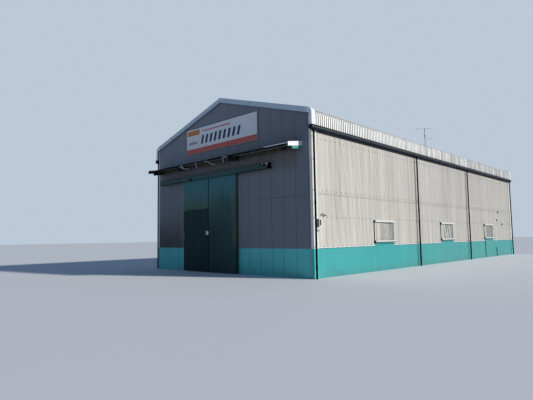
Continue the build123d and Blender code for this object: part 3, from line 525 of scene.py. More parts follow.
def concrete():
    k = Kit("floor_concrete")
    base = lin(150, 146, 138)
    cloud = k.noise(0.55, 6.0, 0.62)
    col = k.mix(cloud, shade(base, 0.80), shade(base, 1.12))
    sand = k.noise(90.0, 3.0, 0.7)
    col = k.mix(k.span(sand, 0.35, 0.75, 0.0, 0.22), col, shade(base, 0.62))
    oil = k.noise(0.8, 5.0, 0.65, k.scaled((1, 0.7, 1), (4, 3, 0)), 0.6)
    col = k.mix(k.span(oil, 0.60, 0.72, 0.0, 0.5), col, lin(72, 68, 64))
    tyres = k.band(k.m("ABSOLUTE", k.m("ADD", k.x, 0.77)), 0.72, 0.98, 0.12)
    rub = k.noise(1.0, 4.0, 0.6, k.scaled((9, 0.5, 1)))
    col = k.mix(k.m("MULTIPLY", tyres, k.span(rub, 0.4, 0.7, 0.0, 0.35)), col, lin(60, 58, 56))
    joint = k.span(k.m("PINGPONG", k.m("ADD", k.y, BAY / 2), BAY / 2), 0.0, 0.010, 1.0, 0.0)
    mid = k.span(k.m("ABSOLUTE", k.x), 0.0, 0.010, 1.0, 0.0)
    cut = k.m("MAXIMUM", joint, mid)
    col = k.mix(k.m("MULTIPLY", cut, 0.7), col, lin(56, 54, 50))
    k.set("Base Color", col)
    k.set("Roughness", k.span(oil, 0.4, 0.75, 0.82, 0.52))
    trowel = k.noise(3.0, 4.0, 0.6, None, 1.2)
    n = k.bump(trowel, 0.18, 0.004)
    n = k.bump(sand, 0.20, 0.001, n)
    k.set("Normal", k.bump(cut, 0.6, -0.006, n))
    return k.mat


M["concrete"] = concrete()


def door_paint():
    """Dark teal enamel, lighter above and darker below as a painted sky reflection, with splash at the foot."""
    k = Kit("door_teal_enamel")
    top, reflected_mid = lin(74, 122, 130), lin(78, 106, 98)
    wave = k.noise(1.0, 3.0, 0.5, k.scaled((1.4, 1.0, 0.3)))
    comb = k.noise(1.0, 3.0, 0.6, k.scaled((12.0, 12.0, 0.12), (5, 5, 2)))
    right = k.span(k.x, DOOR_X - 0.005, DOOR_X + 0.005)
    uneven = k.span(wave, 0.2, 0.8, -0.05, 0.05, "LINEAR")
    # left leaf: the painted reflection ends in a hard edge, dark below it
    zl = k.m("ADD", k.z, uneven)
    left_col = k.mix(k.span(zl, 2.72, 2.79), lin(26, 54, 54), reflected_mid)
    left_col = k.mix(k.span(zl, 2.84, 3.56), left_col, top)
    # right leaf: the painted reflection fades out over a long height, with hanging streaks
    zr = k.m("ADD", zl, k.span(comb, 0.30, 0.72, -0.30, 0.40, "LINEAR"))
    low_right = k.mix(k.span(k.x, -0.25, 0.50), lin(38, 66, 66), lin(46, 74, 73))
    right_col = k.mix(k.span(zr, 1.6, 3.0), low_right, lin(58, 90, 84))
    right_col = k.mix(k.span(zr, 2.75, 3.75), right_col, top)
    col = k.mix(right, left_col, right_col)
    edge = k.m("MULTIPLY", k.span(k.x, 0.62, 0.98), k.band(k.z, 1.4, 3.2, 0.6))
    yellow = k.m("MULTIPLY", k.span(comb, 0.50, 0.66), k.band(k.z, 2.4, 3.5, 0.4))
    yellow = k.m("MAXIMUM", k.m("MULTIPLY", yellow, 0.22), k.m("MULTIPLY", edge, 0.40))
    col = k.mix(yellow, col, lin(104, 116, 92))
    runs = k.noise(1.0, 5.0, 0.65, k.scaled((13, 13, 0.35)), 0.2)
    col = k.mix(k.span(runs, 0.46, 0.78, 0.0, 0.30), col, lin(22, 46, 48))
    pale = k.noise(1.0, 4.0, 0.6, k.scaled((17, 17, 0.6), (7, 2, 1)))
    col = k.mix(k.span(pale, 0.58, 0.82, 0.0, 0.12), col, lin(84, 122, 126))
    splash = k.m("MULTIPLY", k.span(k.z, 0.03, 0.55, 1.0, 0.0), k.span(k.noise(5.0, 5.0, 0.65), 0.3, 0.7))
    col = k.mix(k.m("MULTIPLY", splash, 0.40), col, lin(62, 62, 54))
    chip = k.noise(26.0, 5.0, 0.72, None, 0.5)
    zone = k.noise(1.2, 3.0, 0.6, k.scaled((1, 1, 1), (3, 3, 9)))
    hit = k.m("MULTIPLY", k.span(chip, 0.64, 0.69), k.span(zone, 0.48, 0.64))
    col = k.mix(k.m("MULTIPLY", hit, 0.8), col, lin(98, 62, 42))
    k.set("Base Color", col)
    k.set("Roughness", k.span(runs, 0.3, 0.8, 0.40, 0.60))
    k.set("Specular IOR Level", 0.14)
    n = k.bump(k.noise(1.0, 2.0, 0.5, k.scaled((1.8, 1.8, 1.1))), 0.35, 0.012)
    k.set("Normal", k.bump(chip, 0.10, 0.0015, n))
    return k.mat


M["door"] = door_paint()


def cover_paint():
    """The rail cover's teal sheet, with brown rain stains from above."""
    k = Kit("cover_teal_stained")
    base = lin(66, 101, 102)
    cloud = k.noise(1.0, 5.0, 0.6, k.scaled((0.9, 3, 3)))
    col = k.mix(cloud, shade(base, 0.72), shade(base, 1.2))
    brown = k.noise(1.0, 5.0, 0.6, k.scaled((1.1, 4.0, 5.0), (2, 0, 3)), 0.4)
    high = k.span(k.z, 4.14, 4.22)
    west = k.span(k.x, 0.6, -0.6, 0.20, 0.55)
    col = k.mix(
        k.m("MULTIPLY", west, k.m("MULTIPLY", high, k.span(brown, 0.25, 0.60, 0.30, 0.85))),
        col, lin(84, 84, 80),
    )
    col = k.mix(k.m("MULTIPLY", k.span(k.x, 0.4, 1.6), 0.55), col, lin(58, 76, 68))
    runs = k.noise(1.0, 5.0, 0.65, k.scaled((16, 16, 0.9)))
    col = k.mix(k.span(runs, 0.5, 0.78, 0.0, 0.5), col, lin(46, 58, 58))
    # black lower edge of the cover: painted shade along its lip
    foot = k.span(k.x, -2.62, -2.56, 4.112, 4.098)
    lip = k.span(k.m("SUBTRACT", k.z, foot), -0.010, 0.0, 1.0, 0.0)
    soft = k.m("MULTIPLY", k.band(k.x, -2.58, 1.05, 0.02), 0.45)
    col = k.mix(k.m("MULTIPLY", lip, k.m("SUBTRACT", 0.97, soft)), col, lin(5, 9, 12))
    # dark patch where the cover is dented: painted shade
    dent_shade = k.m("MULTIPLY", k.band(k.x, -2.07, -1.86, 0.04), k.band(k.z, 4.05, 4.20, 0.02))
    col = k.mix(k.m("MULTIPLY", dent_shade, 0.85), col, lin(12, 30, 34))
    rust = k.noise(15.0, 5.0, 0.7, None, 0.5)
    col = k.mix(k.span(rust, 0.62, 0.70, 0.0, 0.7), col, lin(104, 66, 44))
    k.set("Base Color", col)
    k.set("Roughness", k.span(brown, 0.3, 0.7, 0.46, 0.68))
    k.set("Specular IOR Level", 0.15)
    n = k.bump(k.noise(1.0, 2.0, 0.5, k.scaled((2.2, 2, 4))), 0.5, 0.012)
    k.set("Normal", k.bump(rust, 0.15, 0.0012, n))
    return k.mat


M["cover"] = cover_paint()


def glass():
    """Window panes: a pale blind close behind figured glass, different in each
    window. Its folds, darker and paler bands of painted shade and highlight, lean one way in the middle
    window and the other way in the near one; the far one has a grey insect screen on its right half."""
    k = Kit("window_figured_glass")
    base = lin(156, 152, 142)
    cloud = k.noise(2.4, 4.0, 0.6)
    col = k.mix(cloud, shade(base, 0.84), shade(base, 1.12))
    near = k.span(k.y, -3.0, -3.1)
    far = k.span(k.y, 3.0, 3.1)
    mid = k.m("SUBTRACT", 1.0, k.m("MAXIMUM", near, far))
    wave = k.span(k.noise(1.0, 2.0, 0.5, k.scaled((1, 1.6, 0.5))), 0.2, 0.8, -0.03, 0.03, "LINEAR")

    def folds(slope, period, soft):
        s_ = k.m("ADD", k.m("ADD", k.y, k.m("MULTIPLY", k.z, slope)), wave)
        return k.span(k.m("PINGPONG", s_, period / 2), 0.0, soft, 1.0, 0.0)

    # fold bands: painted shade and highlight of the blind's folds
    col = k.mix(k.m("MULTIPLY", near, k.m("MULTIPLY", folds(-0.30, 0.46, 0.16), 0.45)), col, lin(128, 128, 122))
    col = k.mix(k.m("MULTIPLY", mid, k.m("MULTIPLY", folds(0.28, 0.33, 0.100), 0.80)), col, lin(92, 97, 95))
    pale = k.m("SUBTRACT", 1.0, folds(0.28, 0.33, 0.15))
    col = k.mix(k.m("MULTIPLY", mid, k.m("MULTIPLY", pale, 0.60)), col, lin(208, 208, 202))
    local = k.m("ADD", k.m("SUBTRACT", k.y, WIN_MID), k.m("ADD", k.m("MULTIPLY", near, 2 * BAY), k.m("MULTIPLY", far, -2 * BAY)))
    body = k.m("MULTIPLY", near, k.band(local, -0.40, 0.42, 0.10))
    slant = k.m("ADD", local, k.m("MULTIPLY", k.m("SUBTRACT", k.z, 1.62), 0.30))
    pale_near = k.m("MULTIPLY", body, k.span(slant, -0.42, 0.10, 0.40, 0.75))
    col = k.mix(pale_near, col, lin(180, 177, 168))
    strip = k.m("MULTIPLY", k.m("SUBTRACT", 1.0, near), k.band(local, -0.76, -0.42, 0.06))
    col = k.mix(k.m("MULTIPLY", strip, 0.75), col, lin(200, 197, 178))
    edge = k.m("MULTIPLY", near, k.band(local, -0.80, -0.62, 0.04))
    col = k.mix(k.m("MULTIPLY", edge, 0.75), col, lin(180, 176, 164))
    strip = k.m("MULTIPLY", near, k.band(local, -0.56, -0.38, 0.07))
    col = k.mix(k.m("MULTIPLY", strip, 0.90), col, lin(208, 204, 190))
    crease = k.m("MULTIPLY", k.m("SUBTRACT", 1.0, near), k.band(local, -0.665, -0.625, 0.03))
    col = k.mix(k.m("MULTIPLY", crease, 0.55), col, lin(128, 126, 108))
    net = k.m("MULTIPLY", far, k.band(local, -0.28, 0.60, 0.05))
    gy = k.m("PINGPONG", k.y, 0.012)
    gz = k.m("PINGPONG", k.z, 0.012)
    col = k.mix(k.m("MULTIPLY", net, 0.75), col, lin(152, 152, 152))
    wires = k.span(k.m("MINIMUM", gy, gz), 0.0, 0.004, 0.6, 0.0)
    col = k.mix(k.m("MULTIPLY", net, wires), col, lin(98, 98, 102))
    grit = k.noise(20.0, 4.0, 0.6)
    low = k.span(k.z, 1.23, 1.40, 1.0, 0.0)
    col = k.mix(k.m("MULTIPLY", low, k.span(grit, 0.3, 0.7, 0.1, 0.4)), col, lin(116, 106, 92))
    k.set("Base Color", col)
    k.set("Roughness", k.span(grit, 0.3, 0.8, 0.20, 0.38))
    k.set("Transmission Weight", 0.08)
    k.set("Coat Weight", 0.25)
    k.set("Coat Roughness", 0.08)
    v = k.cells(210.0)
    k.set("Normal", k.bump(v.outputs["Distance"], 0.15, 0.0010))
    return k.mat


M["glass"] = glass()
M["ledge_white"] = painted_sheet(
    "window_ledge_white", (208, 208, 202), stain=(120, 112, 100), var=0.03, streak=0.25,
    foot=0.0, rough=0.4, grime=0.12, oil=0.05, stretch=16.0,
).mat
def frame_coat():
    """White window frames, greyer on the meeting stiles, with a dark painted shadow
    below the sill board."""
    k = painted_sheet(
        "window_frame_white", (222, 222, 216), stain=(120, 112, 100), var=0.03, streak=0.25,
        foot=0.0, rough=0.36, grime=0.14, oil=0.05, stretch=16.0,
    )
    col = k.b.inputs["Base Color"].links[0].from_socket
    for y in WIN_Y:
        stile = k.m("MULTIPLY", k.band(k.y, y - 0.050, y + 0.050, 0.002), k.band(k.z, 1.236, 2.03, 0.002))
        col = k.mix(k.m("MULTIPLY", stile, 0.80), col, lin(182, 180, 171))
    # painted shadow below the sill board, dark teal
    foot = k.mix(k.noise(3.0, 4.0, 0.6), lin(34, 58, 58), lin(48, 78, 77))
    col = k.mix(k.span(k.z, 1.2035, 1.2050, 1.0, 0.0), col, foot)
    teal = k.mix(k.noise(3.0, 4.0, 0.6), lin(72, 168, 166), lin(88, 186, 182))
    col = k.mix(k.span(k.z, 1.161, 1.165, 1.0, 0.0), col, teal)
    k.set("Base Color", col)
    return k.mat


M["frame_white"] = frame_coat()
M["rubber"] = vinyl("gasket_and_painted_shade_black", (24, 24, 24), (60, 60, 58), 0.6)
M["canopy"] = painted_sheet(
    "canopy_sheet_weathered", (112, 124, 120), stain=(60, 64, 58), var=0.12, streak=0.35,
    foot=0.0, rough=0.55, grime=0.35, oil=0.1, spec=0.2,
).mat
# near-black lip: dark paint, darkened further as painted shade
M["fascia"] = painted_sheet(
    "canopy_lip_dark", (9, 15, 20), stain=(8, 10, 11), var=0.14, streak=0.4,
    foot=0.0, rough=0.6, grime=0.3, oil=0.3, spec=0.12,
).mat
M["navy"] = painted_sheet(
    "canopy_cap_dark", (16, 22, 30), stain=(14, 16, 20), var=0.12, streak=0.3,
    foot=0.0, rough=0.6, grime=0.2, oil=0.1, spec=0.12,
).mat
def arm_coat():
    """Teal arms, painted dark on all but the sunlit right end one: painted shade."""
    k = painted_sheet(
        "canopy_arm_teal", (62, 150, 148), stain=(40, 52, 50), var=0.1, streak=0.30,
        foot=0.0, rough=0.42, grime=0.30, oil=0.05, chips=0.6,
    )
    col = k.b.inputs["Base Color"].links[0].from_socket
    inner = k.span(k.x, 4.0, 4.1, 1.0, 0.0)
    shade_mottle = k.noise(6.0, 4.0, 0.6)
    dark = k.mix(shade_mottle, lin(24, 28, 30), lin(44, 50, 50))
    k.set("Base Color", k.mix(inner, col, dark))
    return k.mat


def sign_paint(name, rgb, dirt=0.18):
    k = Kit(name)
    base = lin(*rgb)
    sun = k.noise(0.8, 3.0, 0.5)
    col = k.mix(sun, shade(base, 0.93), shade(base, 1.05))
    runs = k.noise(1.0, 5.0, 0.65, k.scaled((11, 11, 0.5)))
    col = k.mix(k.span(runs, 0.5, 0.8, 0.0, dirt), col, lin(98, 96, 96))
    dust = k.noise(26.0, 4.0, 0.65)
    col = k.mix(k.span(dust, 0.5, 0.8, 0.0, 0.10), col, lin(120, 116, 110))
    k.set("Base Color", col)
    k.set("Roughness", k.span(dust, 0.3, 0.8, 0.30, 0.48))
    k.set("Normal", k.bump(k.noise(1.0, 2.0, 0.5, k.scaled((1.5, 1, 1.5))), 0.2, 0.008))
    return k.mat


M["arm"] = arm_coat()
M["sign_field"] = sign_paint("sign_field_pale", (226, 228, 232))
M["sign_red"] = sign_paint("sign_band_orange_red", (204, 99, 86))
M["sign_orange"] = sign_paint("sign_block_orange", (206, 128, 58))
M["sign_blue"] = sign_paint("sign_bars_navy", (40, 58, 90))
M["sign_grey"] = sign_paint("sign_block_grey", (150, 156, 166))
M["sign_line"] = sign_paint("sign_line_white", (240, 241, 243), 0.1)


def worn(name, rgb, under, rough=0.4, amount=0.6):
    k = Kit(name)
    base = lin(*rgb)
    cloud = k.noise(9.0, 4.0, 0.6)
    col = k.mix(cloud, shade(base, 0.8), shade(base, 1.15))
    rub = k.noise(30.0, 5.0, 0.7, None, 0.4)
    col = k.mix(k.span(rub, 0.54, 0.62, 0.0, amount), col, lin(*under))
    k.set("Base Color", col)
    k.set("Roughness", k.span(rub, 0.3, 0.8, rough - 0.08, rough + 0.2))
    k.set("Normal", k.bump(rub, 0.15, 0.001))
    return k.mat


M["pull_yellow"] = worn("pull_worn_yellow", (156, 138, 62), (70, 62, 48))
M["grip_dark"] = worn("grip_dark_steel", (34, 36, 40), (96, 94, 92), 0.38, 0.4)
M["plate_white"] = worn("plate_white", (214, 220, 226), (120, 116, 108), 0.45, 0.3)
M["meter_grey"] = worn("meter_case_grey", (132, 138, 142), (92, 90, 86), 0.4, 0.35)
M["meter_white"] = worn("meter_board_white", (226, 226, 220), (150, 140, 124), 0.42, 0.35)
M["meter_dark"] = worn("meter_slot_dark", (26, 28, 32), (60, 60, 60), 0.25, 0.3)
M["porcelain"] = worn("insulator_white", (232, 232, 226), (128, 120, 108), 0.22, 0.2)
M["aerial"] = bare_steel("aerial_alloy", (226, 230, 234), rust=0.04, rough=0.5, metallic=0.15, spangle=False).mat


# ------------------------------------------------------------------ mesh kit
class Geo:
    def __init__(self):
        self.v, self.f, self.m = [], [], []

    def add(self, verts, faces, mi=0):
        n = len(self.v)
        self.v.extend(verts)
        self.f.extend([tuple(i + n for i in f) for f in faces])
        self.m.extend([mi] * len(faces))

    def box(self, lo, hi, mi=0, c=0.0):
        """Box with every edge cut back by c."""
        (x0, y0, z0), (x1, y1, z1) = lo, hi
        if c <= 0:
            v = [(x, y, z) for x in (x0, x1) for y in (y0, y1) for z in (z0, z1)]
            f = [(0, 1, 3, 2), (4, 6, 7, 5), (0, 4, 5, 1), (2, 3, 7, 6), (0, 2, 6, 4), (1, 5, 7, 3)]
            self.add(v, f, mi)
            return
        v, ids = [], {}
        for ix, x in enumerate((x0, x1)):
            for iy, y in enumerate((y0, y1)):
                for iz, z in enumerate((z0, z1)):
                    sx, sy, sz = (1, -1)[ix], (1, -1)[iy], (1, -1)[iz]
                    ids[ix, iy, iz, 0] = len(v)
                    v.append((x, y + sy * c, z + sz * c))
                    ids[ix, iy, iz, 1] = len(v)
                    v.append((x + sx * c, y, z + sz * c))
                    ids[ix, iy, iz, 2] = len(v)
                    v.append((x + sx * c, y + sy * c, z))
        f = []
        for s in (0, 1):
            f.append(tuple(ids[s, a, b, 0] for a, b in ((0, 0), (1, 0), (1, 1), (0, 1))))
            f.append(tuple(ids[a, s, b, 1] for a, b in ((0, 0), (1, 0), (1, 1), (0, 1))))
            f.append(tuple(ids[a, b, s, 2] for a, b in ((0, 0), (1, 0), (1, 1), (0, 1))))
        for s in (0, 1):
            for t in (0, 1):
                f.append((ids[s, t, 0, 0], ids[s, t, 1, 0], ids[s, t, 1, 1], ids[s, t, 0, 1]))
                f.append((ids[s, 0, t, 0], ids[s, 1, t, 0], ids[s, 1, t, 2], ids[s, 0, t, 2]))
                f.append((ids[0, s, t, 1], ids[1, s, t, 1], ids[1, s, t, 2], ids[0, s, t, 2]))
        for ix in (0, 1):
            for iy in (0, 1):
                for iz in (0, 1):
                    f.append(tuple(ids[ix, iy, iz, k] for k in range(3)))
        self.add(v, f, mi)

    def prism(self, poly, place, a, b, mi=0):
        """poly: 2-D points in order; place(p, q, t) gives the 3-D point at depth t."""
        n = len(poly)
        v = [place(p, q, a) for p, q in poly] + [place(p, q, b) for p, q in poly]
        f = [tuple(range(n)), tuple(range(2 * n - 1, n - 1, -1))]
        f += [(i, (i + 1) % n, n + (i + 1) % n, n + i) for i in range(n)]
        self.add(v, f, mi)

    def taper(self, poly0, poly1, mi=0):
        """Closed solid between two rings of 3-D points of equal count."""
        n = len(poly0)
        f = [tuple(range(n)), tuple(range(2 * n - 1, n - 1, -1))]
        f += [(i, (i + 1) % n, n + (i + 1) % n, n + i) for i in range(n)]
        self.add(list(poly0) + list(poly1), f, mi)

    def lathe(self, centre, axis, profile, seg=12, mi=0):
        """profile: (radius, distance along axis) from first to last, closed at both ends."""
        axis = Vector(axis).normalized()
        side = axis.orthogonal().normalized()
        up = axis.cross(side)
        c = Vector(centre)
        v, f, rings = [], [], []
        for r, d in profile:
            ring = []
            for k in range(seg):
                t = 2 * math.pi * (k + 0.5) / seg
                ring.append(len(v))
                v.append(tuple(c + axis * d + (side * math.cos(t) + up * math.sin(t)) * r))
            rings.append(ring)
        f.append(tuple(rings[0]))
        f.append(tuple(reversed(rings[-1])))
        for a, b in zip(rings, rings[1:]):
            for k in range(seg):
                f.append((a[k], a[(k + 1) % seg], b[(k + 1) % seg], b[k]))
        self.add(v, f, mi)

    def tube(self, path, r, seg=10, mi=0):
        """Round bar along 3-D points, with closed ends."""
        pts = [Vector(p) for p in path]
        v, f, rings = [], [], []
        side = None
        for i, p in enumerate(pts):
            t = (pts[min(i + 1, len(pts) - 1)] - pts[max(i - 1, 0)]).normalized()
            if side is None:
                side = t.orthogonal().normalized()
            side = (side - t * side.dot(t)).normalized()
            up = t.cross(side)
            ring = []
            for k in range(seg):
                w = 2 * math.pi * k / seg
                ring.append(len(v))
                v.append(tuple(p + (side * math.cos(w) + up * math.sin(w)) * r))
            rings.append(ring)
        f.append(tuple(rings[0]))
        f.append(tuple(reversed(rings[-1])))
        for a, b in zip(rings, rings[1:]):
            for k in range(seg):
                f.append((a[k], a[(k + 1) % seg], b[(k + 1) % seg], b[k]))
        self.add(v, f, mi)

    def grid(self, us, vs, solid, front, back, mi=0, face_mi=None):
        """Closed sheet over the cells (i, j) where solid is true. face_mi(i, j)
        gives the material of a cell's front, where it differs."""
        nu, nv = len(us), len(vs)
        ids, v, f, ms = {}, [], [], []

        def vid(i, j, s):
            key = (i, j, s)
            if key not in ids:
                ids[key] = len(v)
                v.append(front(us[i], vs[j], i, j) if s == 0 else back(us[i], vs[j], i, j))
            return ids[key]

        full = {
            (i, j) for i in range(nu - 1) for j in range(nv - 1) if solid(i, j)
        }
        for i, j in sorted(full):
            q = [(i, j), (i + 1, j), (i + 1, j + 1), (i, j + 1)]
            f.append(tuple(vid(a, b, 0) for a, b in q))
            ms.append(face_mi(i, j) if face_mi else mi)
            f.append(tuple(vid(a, b, 1) for a, b in reversed(q)))
            ms.append(mi)
            for (di, dj), (e0, e1) in (
                ((0, -1), (0, 1)), ((1, 0), (1, 2)), ((0, 1), (2, 3)), ((-1, 0), (3, 0)),
            ):
                if (i + di, j + dj) not in full:
                    p, r = q[e0], q[e1]
                    f.append((vid(*r, 0), vid(*p, 0), vid(*p, 1), vid(*r, 1)))
                    ms.append(mi)
        n = len(self.v)
        self.v.extend(v)
        self.f.extend([tuple(i + n for i in q) for q in f])
        self.m.extend(ms)

    def make(self, name, body, mats, angle=30.0, flip=False):
        me = bpy.data.meshes.new(name)
        me.from_pydata(self.v, [], self.f)
        for mt in mats:
            me.materials.append(mt)
        me.polygons.foreach_set("material_index", self.m)
        bm = bmesh.new()
        bm.from_mesh(me)
        bmesh.ops.recalc_face_normals(bm, faces=bm.faces)
        bm.to_mesh(me)
        bm.free()
        me.polygons.foreach_set("use_smooth", [True] * len(me.polygons))
        me.set_sharp_from_angle(angle=math.radians(angle))
        me.update()
        ob = bpy.data.objects.new(name, me)
        bpy.context.scene.collection.objects.link(ob)
        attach(ob, body)
        return ob


def cad(node, *mats):
    """Gives a carried-over CAD node its finish."""
    me = nodes[node].data
    for i, mt in enumerate(mats):
        if i < len(me.materials):
            me.materials[i] = mt
        else:
            me.materials.append(mt)


# ------------------------------------------------------------------ long walls
# Ribbed sheet: 62.5 mm pitch, 12 mm deep, crests up to X 4.850.
RIB_P, RIB_H = 0.0625, 0.012
RIB_CUTS = ((0.0, 0.0), (0.0265, 0.0), (0.0315, 1.0), (0.0575, 1.0))
SIDE_END = 11.503


def rib_line(y0, y1, extra, pitch, cuts):
    """Sorted (y, height 0..1) break points of the ribs between y0 and y1."""
    k0, k1 = math.floor(y0 / pitch) - 1, math.ceil(y1 / pitch) + 1
    pts = [(k * pitch + dy, h) for k in range(k0, k1) for dy, h in cuts]

    def at(y):
        for (a, ha), (b, hb) in zip(pts, pts[1:]):
            if a <= y <= b:
                return ha + (hb - ha) * (y - a) / (b - a) if b > a else ha
        return 0.0

    keep = [(y, h) for y, h in pts if y0 + 1e-4 < y < y1 - 1e-4]
    for y in [y0, y1] + list(extra):
        if not any(abs(y - q) < 6e-4 for q, _ in keep):
            keep.append((y, at(y)))
    return sorted(keep)


def side_sheet(side, name, z_cuts, z_open, y_open, off, mats, y_lim=SIDE_END):
    """One course of siding. z_open and y_open: cells to leave out around a window."""
    edges = [e for c in WIN_Y for e in (c - y_open, c + y_open)] if y_open else []
    line = rib_line(-y_lim, y_lim, edges, RIB_P, RIB_CUTS)
    us = [p[0] for p in line]
    hs = [p[1] for p in line]

    def solid(i, j):
        if not y_open:
            return True
        ym, zm = (us[i] + us[i + 1]) / 2, (z_cuts[j] + z_cuts[j + 1]) / 2
        near = any(abs(ym - c) < y_open for c in WIN_Y)
        return not near if z_open[0] < zm < z_open[1] else True

    g = Geo()
    g.grid(
        us, z_cuts, solid,
        lambda y, z, i, j: (side * (X_OUT + off + RIB_H * hs[i]), y, z),
        lambda y, z, i, j: (side * (X_OUT - 0.003), y, z),
        face_mi=lambda i, j: 0 if min(hs[i], hs[i + 1]) > 0.99 else 1,
    )
    return g.make(name, "building", mats)


def dado_sheet(side, name):
    """Teal course at the foot, up to the sill under each window."""
    edges = [e for c in WIN_Y for e in (c - 0.830, c + 0.830)]
    line = rib_line(-SIDE_END, SIDE_END, edges, RIB_P, RIB_CUTS)
    us = [p[0] for p in line]
    hs = [p[1] for p in line]
    zs = [0.0, 0.35, DADO_H, WIN_Z0 + 0.002]

    def solid(i, j):
        if j < 2:
            return True
        ym = (us[i] + us[i + 1]) / 2
        return any(abs(ym - c) < 0.830 for c in WIN_Y)

    g = Geo()
    g.grid(
        us, zs, solid,
        lambda y, z, i, j: (side * (X_OUT + 0.0005 + RIB_H * hs[i]), y, z),
        lambda y, z, i, j: (side * (X_OUT - 0.003), y, z),
        face_mi=lambda i, j: 0 if min(hs[i], hs[i + 1]) > 0.99 else 1,
    )
    return g.make(name, "building", [M["dado"], M["dado_groove"]])


for side, tag in ((1, "right"), (-1, "left")):
    side_sheet(
        side, f"siding_lower_{tag}", [DADO_H, WIN_Z0, HOLE_Z1, LAP_Z],
        (DADO_H, HOLE_Z1), 0.830, 0.002, [M["siding"], M["siding_groove"]],
    )
    side_sheet(
        side, f"siding_upper_{tag}", [LAP_Z, 4.4, SIDE_TOP - 0.03],
        None, 0, 0.0055, [M["siding"], M["siding_groove"]],
    )
    dado_sheet(side, f"dado_sheet_{tag}")
    cad(f"side_wall_{tag}", M["lining"])
    cad(f"dado_{tag}", M["lining"])

# Screws on the crests, in rows at the girts: a dark washer and a dome cap, their dark finish partly painted shade.
for side, tag in ((1, "right"), (-1, "left")):
    g = Geo()
    for z, off in ((5.62, 0.0055), (4.995, 0.0055), (3.11, 0.0055), (2.157, 0.002), (1.098, 0.002)):
        k = 0
        while True:
            y = (math.floor(-11.23 / RIB_P) + 4.75 * k // 1) * RIB_P + 0.0445
            k += 1
            if y > 11.45:
                break
            if z < 2.16 and any(abs(y - c) < 0.875 for c in WIN_Y):
                continue
            x = X_OUT + off + RIB_H
            dy, dz = rng.uniform(-0.003, 0.003), rng.uniform(-0.008, 0.008)
            g.lathe(
                (side * (x - 0.001), y + dy, z + dz), (side, 0, 0),
                [(0.0200, 0), (0.0195, 0.003), (0.0110, 0.0035), (0.0100, 0.0085), (0.0060, 0.0105)], 8, 0,
            )
    g.make(f"siding_screws_{tag}", "building", [M["screw_dark"]])

# Drip strip along the top of the dado, stepping up beside each window.
for side, tag in ((1, "right"), (-1, "left")):
    g = Geo()

    def bar(x0, x1, y0, y1, z0, z1, mi, cut=0.0):
        xa, xb = side * x0, side * x1
        g.box((min(xa, xb), y0, z0), (max(xa, xb), y1, z1), mi, cut)

    stops = [-SIDE_END] + [e for c in WIN_Y for e in (c - 0.850, c + 0.850)] + [SIDE_END]
    for y0, y1 in zip(stops[::2], stops[1::2]):
        bar(X_OUT + 0.004, X_OUT + RIB_H + 0.012, y0, y1, DADO_H + 0.012, DADO_H + 0.034, 0, 0.002)
        # the black bar under the white strip is a painted shadow line
        bar(X_OUT + 0.004, X_OUT + RIB_H + 0.004, y0, y1, DADO_H, DADO_H + 0.012, 1)
    for c in WIN_Y:
        for s_ in (-1, 1):
            ya, yb = c + s_ * 0.827, c + s_ * 0.850
            bar(X_OUT + 0.004, X_OUT + RIB_H + 0.012, min(ya, yb), max(ya, yb), DADO_H + 0.012, WIN_Z0 + 0.002, 0, 0.002)
    g.make(f"dado_drip_{tag}", "building", [M["trim_white"], M["black"]])

# Three plugged holes and two short drain pipes at the far end of the long wall.
g = Geo()
for y, z in ((8.716, 2.925), (8.422, 2.407), (9.510, 2.130)):
    g.lathe(
        (X_OUT + 0.010, y, z), (1, 0, 0),
        [(0.062, 0), (0.062, 0.008), (0.054, 0.012), (0.054, 0.046), (0.046, 0.052), (0.020, 0.052)], 20, 0,
    )
for y, z in ((5.930, 1.000), (8.130, 0.560)):
    g.tube([(X_OUT + 0.030, y, 0.02), (X_OUT + 0.030, y, z)], 0.016, 10, 1)
    g.lathe((X_OUT + 0.030, y, z - 0.05), (0, 0, 1), [(0.021, 0), (0.021, 0.052)], 10, 1)
    for zc in (z - 0.12, 0.20):
        g.box((X_OUT + 0.006, y - 0.022, zc - 0.008), (X_OUT + 0.050, y + 0.022, zc + 0.008), 1, 0.002)
g.make("wall_plugs_right", "building", [M["black"], M["pipe"]])

# ------------------------------------------------------------------ end walls
# Flat panels on a 606.5 mm module with an open joint between them.
GAP, EDGE = 0.011, 0.004


def clip_poly(poly, inside, cross):
    out = []
    for i, p in enumerate(poly):
        q = poly[(i + 1) % len(poly)]
        if inside(p):
            out.append(p)
            if not inside(q):
                out.append(cross(p, q))
        elif inside(q):
            out.append(cross(p, q))
    return out


def half_plane(poly, nx, nz, d):
    """Keeps nx*x + nz*z <= d."""
    def val(p):
        return nx * p[0] + nz * p[1] - d

    def cross(p, q):
        a, b = val(p), val(q)
        t = a / (a - b)
        return (p[0] + (q[0] - p[0]) * t, p[1] + (q[1] - p[1]) * t)

    return clip_poly(poly, lambda p: val(p) <= 1e-9, cross)


